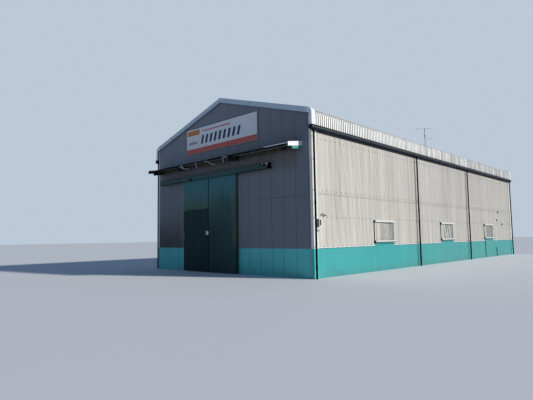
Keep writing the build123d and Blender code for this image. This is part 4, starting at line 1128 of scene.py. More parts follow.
def end_panel(g, sy, x0, x1, z0, z1, mi=0, lift=0.0, flat0=False, flat1=False):
    """One panel between x0 and x1, cut to the gable, its edges sloped back
    except where flat0 or flat1 says that it runs on."""
    rings = []
    for inset, y in ((0.0, Y_OUT - 0.003), (0.0, Y_OUT + 0.003 + lift), (EDGE, Y_OUT + 0.0075 + lift)):
        a = x0 + (0.0 if flat0 else inset)
        b = x1 - (0.0 if flat1 else inset)
        poly = [(a, z0), (b, z0), (b, z1), (a, z1)]
        poly = half_plane(poly, math.copysign(PITCH, (x0 + x1) / 2), 1.0, SOFFIT0 - 0.004)
        rings.append([(p[0], sy * y, p[1]) for p in poly])
    if min(len(r) for r in rings) < 3 or len({len(r) for r in rings}) > 1:
        return
    n = len(rings[0])
    f = [tuple(range(n)), tuple(range(3 * n - 1, 2 * n - 1, -1))]
    for k in (0, 1):
        f += [(k * n + i, k * n + (i + 1) % n, (k + 1) * n + (i + 1) % n, (k + 1) * n + i) for i in range(n)]
    g.add(rings[0] + rings[1] + rings[2], f, mi)


def joints(lo, hi):
    xs = [JOINT0 + k * JOINT for k in range(-16, 3)]
    return [lo] + [x for x in xs if lo + 0.05 < x < hi - 0.05] + [hi]


def panel_course(g, sy, lo, hi, z0, z1, mi=0, lift=0.0, split_ridge=False):
    xs = joints(lo, hi)
    for a, b in zip(xs, xs[1:]):
        a2 = a + (GAP / 2 if a != lo else 0.0)
        b2 = b - (GAP / 2 if b != hi else 0.0)
        if split_ridge and a2 < 0 < b2:
            end_panel(g, sy, a2, -0.0002, z0, z1, mi, lift, flat1=True)
            end_panel(g, sy, 0.0002, b2, z0, z1, mi, lift, flat0=True)
        else:
            end_panel(g, sy, a2, b2, z0, z1, mi, lift)


EDGE_X = 4.768
# front: left and right of the doorway, and over it
for name, lo, hi, node in (
    ("front_panels_left", -EDGE_X, OPEN_X0, "front_wall_left"),
    ("front_panels_right", OPEN_X1, EDGE_X, "front_wall_right"),
):
    g = Geo()
    panel_course(g, -1, lo, hi, DADO_H + 0.002, 2.950)
    panel_course(g, -1, lo, hi, 2.952, 4.898, lift=0.0004)
    g.make(name, "building", [M["panel"]])
    cad(node, M["groove"])
g = Geo()
panel_course(g, -1, OPEN_X0, OPEN_X1, OPEN_Z1, 4.898)
g.make("front_panels_over_door", "building", [M["panel"]])
cad("front_wall_over_door", M["groove"])
g = Geo()
panel_course(g, -1, -EDGE_X, EDGE_X, 4.902, 8.0, split_ridge=True)
g.make("gable_panels_front", "building", [M["panel"]])
cad("front_gable", M["groove"])
g = Geo()
panel_course(g, 1, -EDGE_X, EDGE_X, DADO_H + 0.002, 2.950)
panel_course(g, 1, -EDGE_X, EDGE_X, 2.952, 4.900, lift=0.0004)
panel_course(g, 1, -EDGE_X, EDGE_X, 4.904, 8.0, split_ridge=True)
g.make("back_panels", "building", [M["panel"]])
cad("back_wall", M["groove"])
g = Geo()
panel_course(g, -1, -EDGE_X, OPEN_X0, 0.0, DADO_H)
panel_course(g, -1, OPEN_X1, EDGE_X, 0.0, DADO_H)
g.make("dado_panels_front", "building", [M["dado"]])
cad("dado_front", M["groove"])
g = Geo()
panel_course(g, 1, -EDGE_X, EDGE_X, 0.0, DADO_H)
g.make("dado_panels_back", "building", [M["dado"]])
cad("dado_back", M["groove"])

# ------------------------------------------------------------------ roof
ROOF_P = 0.125
ROOF_CUTS = ((0.0, 0.0), (0.052, 0.0), (0.060, 0.0), (0.067, 1.0), (0.118, 1.0))


def roof_path(r, x_ridge=0.002):
    """(x, z) down the slope, round the eave and down, at radius r of the bend."""
    pts = []
    zr = ARC_Z + r * CA + PITCH * (ARC_X + r * SA)
    for x in (x_ridge, 1.2, 2.4, 3.6):
        pts.append((x, zr - PITCH * x))
    steps = 12
    t0 = math.pi / 2 - A
    for k in range(steps + 1):
        t = t0 * (1 - k / steps)
        pts.append((ARC_X + r * math.cos(t), ARC_Z + r * math.sin(t)))
    pts.append((ARC_X + r, 5.60))
    pts.append((ARC_X + r, EAVE_BOTTOM + 0.003))
    return pts


pan_path = roof_path(EAVE_R - ROOF_RIB + 0.0006)
crest_path = roof_path(EAVE_R - 0.0004)
back_path = roof_path(EAVE_R - ROOF_RIB - 0.003)
for side, tag in ((1, "right"), (-1, "left")):
    line = rib_line(-11.880, 11.880, [], ROOF_P, ROOF_CUTS)
    us = [p[0] for p in line]
    hs = [p[1] for p in line]

    def front(y, s, i, j):
        (xa, za), (xb, zb) = pan_path[j], crest_path[j]
        h = hs[i]
        return (side * (xa + (xb - xa) * h), y, za + (zb - za) * h)

    def back(y, s, i, j):
        x, z = back_path[j]
        return (side * x, y, z)

    # rib flanks and a narrow strip of pan beside each take the dark flank finish: painted shade
    g = Geo()
    g.grid(
        us, list(range(len(pan_path))), lambda i, j: True, front, back,
        face_mi=lambda i, j: 1 if hs[i + 1] - hs[i] > 0.5 or us[i + 1] - us[i] < 0.0085 and hs[i + 1] == hs[i] else 0,
    )
    g.make(f"roof_sheet_{tag}", "building", [M["roof"], M["roof_flank"]])
    cad(f"roof_{tag}", M["roof_lining"])

    # screws through every second crest at the purlins
    g = Geo()
    for px in (0.30, 1.08, 1.99, 2.90, 3.81, 4.60):
        k = math.floor(-11.5 / ROOF_P)
        while k * ROOF_P < 11.5:
            y = k * ROOF_P + 0.0895
            z = crest(px)
            g.lathe(
                (side * px, y, z - 0.002), (side * SA, 0, CA),
                [(0.012, 0), (0.011, 0.004), (0.006, 0.005), (0.0055, 0.010)], 6,
            )
            k += 2
    g.make(f"roof_screws_{tag}", "building", [M["screw"]])
cad("ridge_cap", M["roof"])

# ------------------------------------------------------------------ flashings
cad("verge_trims", M["trim_front"])
cad("eave_end_caps", M["trim_white"])
cad("corner_trims", M["corner"])

# Lap plates and screws along the verge, at the sheet joints.
g = Geo()
for sy in (-1, 1):
    for sx in (-1, 1):
        for x in (0.95, 1.86, 2.77, 3.68, 4.59):
            top = CREST0 + 0.049 - PITCH * x
            x0, x1 = x - 0.022, x + 0.022
            ring0 = [
                (sx * x0, sy * 11.8985, top - 0.203 + PITCH * 0.022),
                (sx * x1, sy * 11.8985, top - 0.203 - PITCH * 0.022),
                (sx * x1, sy * 11.8985, top - 0.004 - PITCH * 0.022),
                (sx * x0, sy * 11.8985, top - 0.004 + PITCH * 0.022),
            ]
            g.taper(ring0, [(p[0], sy * 11.9022, p[2]) for p in ring0], 0)
            for dz in (0.045, 0.155):
                g.lathe((sx * x, sy * 11.902, top - dz), (0, sy, 0), [(0.008, 0), (0.006, 0.004)], 6, 1)
g.make("verge_lap_plates", "building", [M["trim_front"], M["screw"]])

# Screws on the flat eave ends.
g = Geo()
for sx in (-1, 1):
    for sy in (-1, 1):
        for y, z in ((11.72, 5.50), (11.72, 5.68), (11.72, 5.83), (11.86, 5.50), (11.86, 5.76)):
            g.lathe((sx * 4.9715, sy * y, z), (sx, 0, 0), [(0.012, 0), (0.011, 0.003), (0.006, 0.007)], 6)
g.make("eave_end_screws", "building", [M["screw"]])

# ------------------------------------------------------------------ gutters
GUT_PROFILE = [
    (4.852, 5.425), (4.852, 5.274), (4.856, 5.270), (4.984, 5.270), (4.991, 5.275),
    (4.9955, 5.284), (5.000, 5.289), (5.000, 5.297), (4.9955, 5.302), (4.9955, 5.372),
    (5.000, 5.377), (5.000, 5.386), (4.9955, 5.391), (4.9955, 5.408), (5.000, 5.413),
    (5.000, 5.422), (4.996, 5.425), (4.982, 5.425), (4.982, 5.421), (4.991, 5.420),
    (4.991, 5.290), (4.982, 5.276), (4.857, 5.2755), (4.8555, 5.278), (4.8555, 5.425),
]
for side, tag in ((1, "right"), (-1, "left")):
    g = Geo()
    cuts = [-11.926] + [-11.926 + 3.975 * k for k in range(1, 6)] + [11.926]
    g.prism(GUT_PROFILE, lambda p, q, t: (side * p, t, q), -11.926, 11.926, 0)
    for (za, zb), mi in (((5.3880, 5.4235), 2), ((5.3330, 5.3875), 3)):
        g.box((min(side * 4.9950, side * 4.9998), -11.922, za), (max(side * 4.9950, side * 4.9998), 11.922, zb), mi)
    shell = [(4.852, 5.425), (4.852, 5.272), (4.855, 5.270), (4.990, 5.270), (4.9985, 5.280), (4.9985, 5.425)]
    for y0, y1 in ((-11.930, -11.924), (11.924, 11.930)):
        g.prism(shell, lambda p, q, t: (side * p, t, q), y0, y1, 0)
    # joint sleeves under the run
    sleeve = [
        (4.853, 5.300), (4.853, 5.2705), (4.856, 5.2700), (4.986, 5.2700), (4.9945, 5.277),
        (5.000, 5.288), (5.000, 5.420), (4.994, 5.420), (4.994, 5.290), (4.985, 5.274), (4.856, 5.274), (4.856, 5.300),
    ]
    for y in cuts[1:-1]:
        g.prism(sleeve, lambda p, q, t: (side * p, t, q), y - 0.045, y + 0.045, 0)
    # straps across the top
    y = -11.6
    while y < 11.7:
        g.box(
            (min(side * 4.8535, side * 4.9965), y - 0.011, 5.4185),
            (max(side * 4.8535, side * 4.9965), y + 0.011, 5.4215), 1,
        )
        y += 0.844
    o = g.make(
        f"gutter_run_{tag}", "building",
        [M["gutter"], M["clip"], M["gutter_bead"], M["gutter_lip"]],
    )
    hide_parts(f"gutter_{tag}")

    # downpipes with sockets, and clips on the wall
    g = Geo()
    for y in PIPE_Y:
        g.lathe(
            (side * PIPE_X, y, 0.0), (0, 0, 1),
            [(0.0365, 0.0), (0.0365, 0.34), (0.0425, 0.345), (0.0425, 0.46), (0.0365, 0.465),
             (0.0365, 2.60), (0.0415, 2.605), (0.0415, 2.69), (0.0365, 2.70), (0.0365, 5.16),
             (0.0415, 5.165), (0.0415, 5.268)], 24, 0,
        )
        for z in (1.10, 2.12, 3.11, 4.20, 5.02):
            g.lathe((side * PIPE_X, y, z - 0.012), (0, 0, 1), [(0.0395, 0), (0.0395, 0.024)], 20, 1)
            xa, xb = side * 4.846, side * (PIPE_X - 0.034)
            g.box((min(xa, xb), y - 0.004, z - 0.009), (max(xa, xb), y + 0.004, z + 0.009), 1)
            xa, xb = side * 4.846, side * 4.853
            g.box((min(xa, xb), y - 0.026, z - 0.016), (max(xa, xb), y + 0.026, z + 0.016), 1, 0.002)
            xa, xb = side * (PIPE_X - 0.010), side * (PIPE_X + 0.010)
            g.box((min(xa, xb), y - 0.050, z - 0.010), (max(xa, xb), y - 0.038, z + 0.010), 1, 0.002)
    o = g.make(f"downpipe_set_{tag}", "building", [M["pipe"], M["clip"]])
    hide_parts(f"downpipes_{tag}")

# ------------------------------------------------------------------ windows
for side, tag in ((1, "right"), (-1, "left")):
    cad(f"window_frames_{tag}", M["frame_white"])
    cad(f"window_glass_{tag}", M["glass"])
    g = Geo()
    for n, c in enumerate(WIN_Y):
        xj, xl = X_OUT + 0.052, X_OUT + 0.092

        def bx(x0, x1, y0, y1, z0, z1, mi, cut=0.0):
            xa, xb = side * x0, side * x1
            g.box((min(xa, xb), y0, z0), (max(xa, xb), y1, z1), mi, cut)

        # head and sill boards, with black blocks at their ends: painted shade of the shaded end faces
        bx(X_OUT + 0.014, xl + 0.003, c - 0.840, c + 0.848, WIN_Z1 - 0.078, WIN_Z1 + 0.004, 0, 0.004)
        bx(X_OUT + 0.014, xl + 0.003, c - 0.828, c + 0.848, WIN_Z0 + 0.055, WIN_Z0 + 0.112, 0, 0.004)
        bx(X_OUT + 0.012, xl + 0.001, c - 0.866, c - 0.840, WIN_Z1 - 0.112, WIN_Z1 + 0.002, 1, 0.003)
        bx(X_OUT + 0.012, xl + 0.001, c - 0.872, c - 0.828, WIN_Z0 + 0.018, WIN_Z0 + 0.118, 1, 0.003)
        # a black strip on the shaded side of the near jamb, and a thin black line by the near sash stile: painted shade
        bx(X_OUT + 0.012, xj - 0.002, c - 0.8475, c - 0.8435, WIN_Z0 + 0.115, WIN_Z1 - 0.105, 1)
        bx(X_OUT + 0.006, X_OUT + 0.0135, c - 0.7640, c - 0.7520, 1.236, 2.030, 1)
        # gaskets round the panes
        for px, sy in ((X_OUT + 0.0098, -1), (X_OUT - 0.0162, 1)):
            yc = c + sy * (1.600 / 4 - 0.038 / 4)
            hy, z0, z1 = (1.600 / 2 - 0.057) / 2, 1.195 + 0.038, 2.070 - 0.038
            for y0, y1, za, zb in (
                (yc - hy, yc - hy + 0.005, z0, z1), (yc + hy - 0.005, yc + hy, z0, z1),
                (yc - hy + 0.005, yc + hy - 0.005, z0, z0 + 0.005),
                (yc - hy + 0.005, yc + hy - 0.005, z1 - 0.006, z1),
            ):
                bx(px - 0.001, px + 0.004, y0, y1, za, zb, 1)
        # finger pulls on the sashes
        bx(X_OUT + 0.016, X_OUT + 0.024, c - 0.020, c + 0.002, 1.56, 1.70, 2, 0.002)
        # drain slots
        for dy in (-0.6, 0.6):
            bx(xl + 0.0025, xl + 0.0035, c + dy - 0.03, c + dy + 0.03, WIN_Z0 + 0.066, WIN_Z0 + 0.072, 1)
    g.make(f"window_trim_{tag}", "building", [M["ledge_white"], M["rubber"], M["galv"]])

# ------------------------------------------------------------------ canopy
# Corrugated sheet, 76.2 mm waves, falling to the front.
g = Geo()
wave = 0.0762
x0, x1 = CAN_X0 + 0.0125, CAN_X1 - 0.0125
n = int((x1 - x0) / wave * 8)
us = [x0 + (x1 - x0) * k / n for k in range(n + 1)]
vs = [CAN_Y + 0.002, -12.35, -12.08, -Y_OUT]


def can_z(x, y, off):
    return can_top(y) - 0.0100 + 0.0085 * math.sin(2 * math.pi * x / wave) + off


g.grid(
    us, vs, lambda i, j: True,
    lambda x, y, i, j: (x, y, can_z(x, y, 0.0007)),
    lambda x, y, i, j: (x, y, can_z(x, y, -0.0007)),
)
# purlin angles under the sheet
for y in (-12.44, -12.10):
    z = can_top(y) - 0.0195
    g.box((x0, y - 0.02, z - 0.004), (x1, y + 0.02, z), 4)
    g.box((x0, y - 0.02, z - 0.018), (x1, y - 0.016, z - 0.004), 4)
# flashing against the wall
g.box((x0, -11.860, can_top(-11.860) + 0.0005), (x1, -11.819, can_top(-11.860) + 0.0035), 2)
g.box((x0, -11.8235, can_top(-11.860) + 0.0035), (x1, -11.8195, can_top(-11.860) + 0.060), 2)
for k in range(60):
    x = (math.floor(x0 / wave) + 2 * k + 1.25) * wave
    if x > x1 - 0.03:
        break
    for y in (-12.44, -12.10):
        g.lathe((x, y, can_top(y) - 0.0020), (0, 0, 1), [(0.010, 0), (0.009, 0.004), (0.005, 0.008)], 6, 3)
o = g.make("canopy_corrugated", "building", [M["canopy"], M["dark_iron"], M["fascia"], M["screw"], M["galv"]])
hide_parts("canopy_roof")

# Front lip angle under the sheet's edge, and folded end plates.
g = Geo()
z_top = CAN_EDGE_Z - 0.020
FY = -12.588
lip = [
    (FY + 0.014, z_top), (FY + 0.002, z_top), (FY, z_top - 0.003), (FY, CAN_LIP_Z + 0.003),
    (FY + 0.003, CAN_LIP_Z), (FY + 0.040, CAN_LIP_Z), (FY + 0.040, CAN_LIP_Z + 0.003),
    (FY + 0.0065, CAN_LIP_Z + 0.0045), (FY + 0.0065, z_top - 0.006), (FY + 0.014, z_top - 0.005),
]
g.prism(lip, lambda p, q, t: (t, p, q), CAN_X0 + 0.013, CAN_X1 - 0.013, 0)
# closing strip over the ends of the waves: dark up to X 3.268, and a white
# piece that slopes back from the edge beyond it, at the right end
g.box((CAN_X0 + 0.013, -12.6110, CAN_EDGE_Z - 0.021), (3.268, -12.6085, CAN_EDGE_Z + 0.006), 1)
g.box((3.268, -12.6110, CAN_EDGE_Z - 0.021), (CAN_X1 - 0.013, -12.6085, CAN_EDGE_Z + 0.004), 1)
top = [(-12.6115, CAN_EDGE_Z + 0.002), (-12.5500, CAN_EDGE_Z + 0.049), (-12.5500, CAN_EDGE_Z + 0.046), (-12.6100, CAN_EDGE_Z - 0.0005)]
for xa in (3.268, 3.660, 4.052):
    g.prism(top, lambda p, q, t: (t, p, q), xa, min(xa + 0.3895, CAN_X1 - 0.013), 2)
k = 0
while True:
    x = (math.floor((CAN_X0 + 0.1) / 0.0762) + 2 * k + 0.25) * 0.0762
    k += 1
    if x > 3.2:
        break
    g.box((x - 0.020, -12.6115, CAN_EDGE_Z - 0.016), (x + 0.020, -12.5900, CAN_EDGE_Z + 0.009), 1, 0.002)
for x_in, x_out, mi in ((CAN_X0 + 0.012, CAN_X0, 0), (CAN_X1 - 0.012, CAN_X1, 2)):
    plate = [(-11.820, 4.912), (CAN_Y + 0.010, 4.783), (CAN_Y + 0.006, 4.779), (CAN_Y + 0.006, 4.635), (CAN_Y + 0.010, 4.632), (-11.820, 4.740)]
    g.prism(plate, lambda p, q, t: (t, p, q), x_in, x_out, mi)
    s = 1 if x_out > x_in else -1
    for y, dz in ((-12.54, 0.035), (-12.54, 0.125), (-12.22, 0.040), (-12.22, 0.135), (-11.90, 0.045), (-11.90, 0.140)):
        zt = 4.783 + (4.912 - 4.783) * (y - CAN_Y) / (-11.820 - CAN_Y)
        g.lathe((x_out - s * 0.0015, y, zt - dz), (s, 0, 0), [(0.007, 0), (0.005, 0.0015)], 6, 3)
o = g.make("canopy_edge_trim", "building", [M["fascia"], M["navy"], M["trim_white"], M["screw"]])
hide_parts("canopy_trim")
cad("canopy_brackets", M["arm"])

# Bent rods left hanging under the canopy.
g = Geo()


def bend(points, step=5):
    """The same path with its corners rounded."""
    pts = [Vector(p) for p in points]
    out = [pts[0]]
    for a, b, c in zip(pts, pts[1:], pts[2:]):
        r = min((b - a).length, (c - b).length) * 0.35
        p, q = b + (a - b).normalized() * r, b + (c - b).normalized() * r
        for k in range(step + 1):
            t = k / step
            out.append(p * (1 - t) ** 2 + b * (2 * t * (1 - t)) + q * t ** 2)
    return out + [pts[-1]]


RODS = (
    ([(-2.016, 4.625), (-1.913, 4.662), (-1.816, 4.683), (-1.715, 4.594), (-1.632, 4.524), (-1.442, 4.507), (-1.299, 4.517)], 2),
    ([(-1.80, 4.690), (-1.79, 4.610), (-1.76, 4.520)], 0),
    ([(-0.822, 4.700), (-0.818, 4.687), (-0.775, 4.613), (-0.720, 4.468)], 1),
    ([(-0.154, 4.688), (0.032, 4.651), (0.160, 4.570), (0.248, 4.515), (0.476, 4.476)], 0),
    ([(1.236, 4.689), (1.080, 4.702), (0.983, 4.696), (0.967, 4.602), (1.033, 4.480)], 1),
)
for path, held in RODS:
    hung = [(x, -12.6000, z) for x, z in path]
    g.tube(bend(hung), 0.0105, 8, 0)
    p = hung[held]
    g.box((p[0] - 0.02, -12.6115, p[2] - 0.012), (p[0] + 0.02, -12.5865, p[2] + 0.012), 0, 0.002)
# a dark junction box at the wall under the sheet
g.box((3.500, -11.930, 4.700), (3.660, -11.8195, 4.772), 1, 0.004)
g.make("canopy_rods", "building", [M["rod_pale"], M["dark_iron"]])

# ------------------------------------------------------------------ sign board
# A blank board: pale field, plain band, thin line and small plain blocks.
cad("sign_board", M["trim_white"])
g = Geo()
ys = -11.872
FIELD = [
    (SIGN_X0 + 0.012, SIGN_X1 - 0.012, SIGN_Z0 + 0.262, SIGN_Z1 - 0.012, 0),
    (SIGN_X0 + 0.012, SIGN_X1 - 0.012, SIGN_Z0 + 0.240, SIGN_Z0 + 0.262, 4),
    (SIGN_X0 + 0.012, SIGN_X1 - 0.012, SIGN_Z0 + 0.012, SIGN_Z0 + 0.240, 1),
]
for xa, xb, za, zb, mi in FIELD:
    g.box((xa, ys - 0.0020, za), (xb, ys + 0.001, zb), mi)
g.box((SIGN_X0 + 0.07, ys - 0.0032, SIGN_Z1 - 0.30), (SIGN_X0 + 0.95, ys - 0.0015, SIGN_Z1 - 0.07), 2)
# generic slanted bars and a rule in the field
for k in range(9):
    xa = SIGN_X0 + 1.05 + 0.300 * k
    z0, z1 = SIGN_Z0 + 0.40, SIGN_Z0 + 0.78
    quad = [(xa, z0), (xa + 0.15, z0), (xa + 0.25, z1), (xa + 0.10, z1)]
    g.prism(quad, lambda p, q, t: (p, t, q), ys - 0.0032, ys - 0.0015, 3)
g.box((SIGN_X0 + 1.15, ys - 0.0030, SIGN_Z1 - 0.215), (SIGN_X0 + 3.05, ys - 0.0015, SIGN_Z1 - 0.160), 1)
g.box((SIGN_X0 + 0.16, ys - 0.0030, SIGN_Z0 + 0.45), (SIGN_X0 + 0.78, ys - 0.0015, SIGN_Z0 + 0.56), 6)
# rolled edge of the board
for xa, xb, za, zb in (
    (SIGN_X0, SIGN_X1, SIGN_Z1 - 0.014, SIGN_Z1), (SIGN_X0, SIGN_X1, SIGN_Z0, SIGN_Z0 + 0.014),
    (SIGN_X0, SIGN_X0 + 0.014, SIGN_Z0 + 0.014, SIGN_Z1 - 0.014),
    (SIGN_X1 - 0.014, SIGN_X1, SIGN_Z0 + 0.014, SIGN_Z1 - 0.014),
):
    g.box((xa, ys - 0.006, za), (xb, ys + 0.004, zb), 5, 0.0015)
for x in [SIGN_X0 + 0.12 + k * (SIGN_X1 - SIGN_X0 - 0.24) / 6 for k in range(7)]:
    for z in (SIGN_Z0 + 0.05, SIGN_Z1 - 0.05):
        g.lathe((x, ys - 0.002, z), (0, -1, 0), [(0.007, 0), (0.005, 0.003)], 8, 6)
g.make(
    "sign_face", "building",
    [M["sign_field"], M["sign_red"], M["sign_orange"], M["sign_blue"], M["sign_line"], M["galv"], M["sign_grey"]],
)

# ------------------------------------------------------------------ rail and cover
cad("door_rail", M["rail"])
cad("door_rail_cover", M["cover"])
g = Geo()
# black end box past the cover's torn end, painted shade of the rail's dark open end, and bolts on its edge
g.box((2.812, -11.992, 4.082), (2.902, -11.936, 4.300), 0, 0.004)
g.box((2.902, -11.992, 4.082), (2.9095, -11.822, 4.318), 0)
torn = [(2.495, 4.066), (2.815, 4.074), (2.815, 4.180), (2.745, 4.205), (2.690, 4.178), (2.620, 4.232), (2.560, 4.214), (2.495, 4.262)]
g.prism(torn, lambda p, q, t: (p, t, q), -11.9985, -11.9955, 3)
g.box((2.500, -11.968, 4.226), (2.815, -11.936, 4.256), 0, 0.002)
for x, z in ((2.605, 4.292), (2.780, 4.288), (2.870, 4.296), (2.835, 4.226)):
    g.box((x - 0.024, -11.9990, z - 0.022), (x + 0.024, -11.975, z + 0.020), 1, 0.002)
    g.lathe((x, -11.9985, z), (0, -1, 0), [(0.011, 0), (0.009, 0.0012)], 6, 1)
for x, z in ((2.855, 4.160), (2.865, 4.110)):
    g.lathe((x, -11.9915, z), (0, -1, 0), [(0.018, 0), (0.016, 0.005), (0.010, 0.007)], 6, 2)
# straps that hold the cover, one of them standing proud
for x in (-4.25, -2.92, -1.20, 0.55, 2.05):
    wide = 0.028 if x == -2.92 else 0.012
    g.box((x - wide, -12.0000, 4.205 if x == -2.92 else 4.262), (x + wide, -11.9965, 4.338 if x == -2.92 else 4.296), 0, 0.0008)
g.make("rail_end_hardware", "building", [M["black"], M["rod_pale"], M["dark_iron"], M["cover"]])

# ------------------------------------------------------------------ doors
for body, tag, xl in (("door_left", "left", LEFT_X0), ("door_right", "right", RIGHT_X0)):
    cad(f"door_leaf_{tag}", M["door"])
    cad(f"door_hangers_{tag}", M["rail"])
    g = Geo()
    # upright boards of folded sheet, 100 mm pitch
    for k in range(18):
        a, b = xl + 0.1 * k, xl + 0.1 * (k + 1)
        lo = [(a + 0.0015, LEAF_Y + 0.001), (b - 0.0015, LEAF_Y + 0.001), (b - 0.0080, LEAF_Y - 0.0055), (a + 0.0080, LEAF_Y - 0.0055)]
        g.prism(lo, lambda p, q, t: (p, q, t), LEAF_Z0 + 0.002, LEAF_Z1 - 0.002, 0)
    # edge strips
    for xa, xb in ((xl, xl + 0.012), (xl + LEAF_W - 0.012, xl + LEAF_W)):
        g.box((xa, LEAF_Y - 0.0075, LEAF_Z0), (xb, LEAF_Y + 0.001, LEAF_Z1), 0, 0.001)
    g.box((xl + 0.012, LEAF_Y - 0.0075, LEAF_Z0), (xl + LEAF_W - 0.012, LEAF_Y + 0.001, LEAF_Z0 + 0.06), 0, 0.001)
    g.box((xl + 0.012, LEAF_Y - 0.0075, LEAF_Z1 - 0.05), (xl + LEAF_W - 0.012, LEAF_Y + 0.001, LEAF_Z1), 0, 0.001)
    # dark strips where the leaves meet and down the right leaf's far edge: painted shade of the gaps
    if tag == "left":
        gap_shade_strips = ((xl + LEAF_W - 0.018, xl + LEAF_W - 0.0005),)
    else:
        gap_shade_strips = ((xl + 0.0005, xl + 0.020), (xl + LEAF_W - 0.036, xl + LEAF_W - 0.0005))
    for xa, xb in gap_shade_strips:
        g.box((xa, LEAF_Y - 0.0080, LEAF_Z0 + 0.002), (xb, LEAF_Y, LEAF_Z1 - 0.002), 2, 0.001)
    # rivets along the rails of the frame
    for z in (LEAF_Z0 + 0.03, 1.05, 2.08, 3.11, LEAF_Z1 - 0.025):
        for k in range(18):
            g.lathe((xl + 0.05 + 0.1 * k, LEAF_Y - 0.0050, z), (0, -1, 0), [(0.006, 0), (0.005, 0.0022), (0.002, 0.0034)], 6, 1)
    g.make(f"door_skin_{tag}", body, [M["door"], M["screw"], M["black"]])


def bow(g, x, z0, z1, y_face, depth, r, mi, foot=0.018):
    """A bow handle: a bent bar on two small rose plates."""
    g.tube(
        bend([(x, y_face, z0), (x, y_face - depth, z0 + 0.012), (x, y_face - depth, z1 - 0.012), (x, y_face, z1)], 6),
        r, 12, mi,
    )
    for z in (z0, z1):
        g.lathe((x, y_face + 0.002, z), (0, -1, 0), [(foot, 0), (foot, 0.004), (foot * 0.7, 0.007)], 14, mi)


g = Geo()
bow(g, LEFT_X0 + 0.07, 1.445, 1.755, LEAF_Y - 0.0055, 0.028, 0.0085, 0)
g.box((-0.950, LEAF_Y - 0.0095, 1.620), (-0.790, LEAF_Y - 0.0050, 1.780), 1, 0.0015)
for dx in (-0.065, 0.065):
    for dz in (-0.065, 0.065):
        g.lathe((-0.870 + dx, LEAF_Y - 0.0092, 1.70 + dz), (0, -1, 0), [(0.006, 0), (0.004, 0.003)], 8, 2)
o = g.make("door_pull_left", "door_left", [M["pull_yellow"], M["plate_white"], M["screw"]])
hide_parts("door_handles_left")

g = Geo()
bow(g, RIGHT_X0 + LEAF_W - 0.07, 1.445, 1.755, LEAF_Y - 0.0055, 0.028, 0.0085, 0)
xg = RIGHT_X0 + 0.290
g.box((xg - 0.020, LEAF_Y - 0.040, 1.390), (xg + 0.020, LEAF_Y - 0.028, 1.850), 1, 0.004)
for z in (1.42, 1.82):
    g.box((xg - 0.016, LEAF_Y - 0.029, z - 0.018), (xg + 0.016, LEAF_Y - 0.0050, z + 0.018), 1, 0.003)
    g.box((xg - 0.028, LEAF_Y - 0.0090, z - 0.034), (xg + 0.028, LEAF_Y - 0.0045, z + 0.034), 1, 0.002)
    for dz in (-0.026, 0.026):
        g.lathe((xg, LEAF_Y - 0.0088, z + dz), (0, -1, 0), [(0.005, 0), (0.004, 0.002)], 8, 2)
o = g.make("door_pull_right", "door_right", [M["pull_yellow"], M["grip_dark"], M["screw"]])
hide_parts("door_handles_right")

# ------------------------------------------------------------------ meter box
g = Geo()
cy, xw = -11.550, X_OUT + 0.018
g.box((xw, cy - 0.110, 1.780), (xw + 0.010, cy + 0.110, 2.120), 1, 0.002)
g.box((xw + 0.010, cy - 0.060, 1.810), (xw + 0.110, cy + 0.060, 2.090), 0, 0.006)
g.box((xw + 0.106, cy - 0.0595, 1.812), (xw + 0.124, cy + 0.0595, 2.088), 1, 0.005)
g.box((xw + 0.120, cy - 0.034, 1.850), (xw + 0.1285, cy + 0.040, 2.056), 2, 0.003)
for sy in (-1, 1):
    for z in (1.80, 2.10):
        g.lathe((xw + 0.0095, cy + sy * 0.090, z), (1, 0, 0), [(0.007, 0), (0.005, 0.004)], 8, 3)
for z in (1.835, 2.065):
    g.lathe((xw + 0.123, cy - 0.045, z), (1, 0, 0), [(0.006, 0), (0.004, 0.003)], 8, 3)
# bracket below
g.box((xw, cy - 0.045, 1.700), (xw + 0.090, cy + 0.085, 1.712), 1, 0.002)
g.box((xw, cy - 0.045, 1.712), (xw + 0.006, cy + 0.085, 1.782), 1, 0.001)
g.box((xw + 0.080, cy - 0.045, 1.680), (xw + 0.090, cy + 0.085, 1.712), 1, 0.002)
# knob insulators above
g.lathe((xw, -11.640, 2.260), (1, 0, 0), [(0.006, 0), (0.006, 0.020), (0.019, 0.022), (0.021, 0.030), (0.014, 0.038), (0.021, 0.046), (0.018, 0.056), (0.008, 0.060)], 16, 4)
for y, z in ((-11.33, 2.235), (-11.19, 2.215)):
    g.lathe((4.848, y, z), (1, 0, 0), [(0.008, 0), (0.008, 0.030), (0.024, 0.032), (0.026, 0.044), (0.016, 0.052), (0.026, 0.060), (0.022, 0.074), (0.010, 0.080)], 16, 2)
g.tube(bend([(4.915, -11.36, 2.275), (4.915, -11.29, 2.300), (4.915, -11.22, 2.235), (4.915, -11.12, 2.205), (4.915, -11.08, 2.245)]), 0.009, 8, 2)
o = g.make(
    "meter_set", "building",
    [M["meter_grey"], M["meter_white"], M["meter_dark"], M["screw"], M["porcelain"]],
)
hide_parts("meter_box")

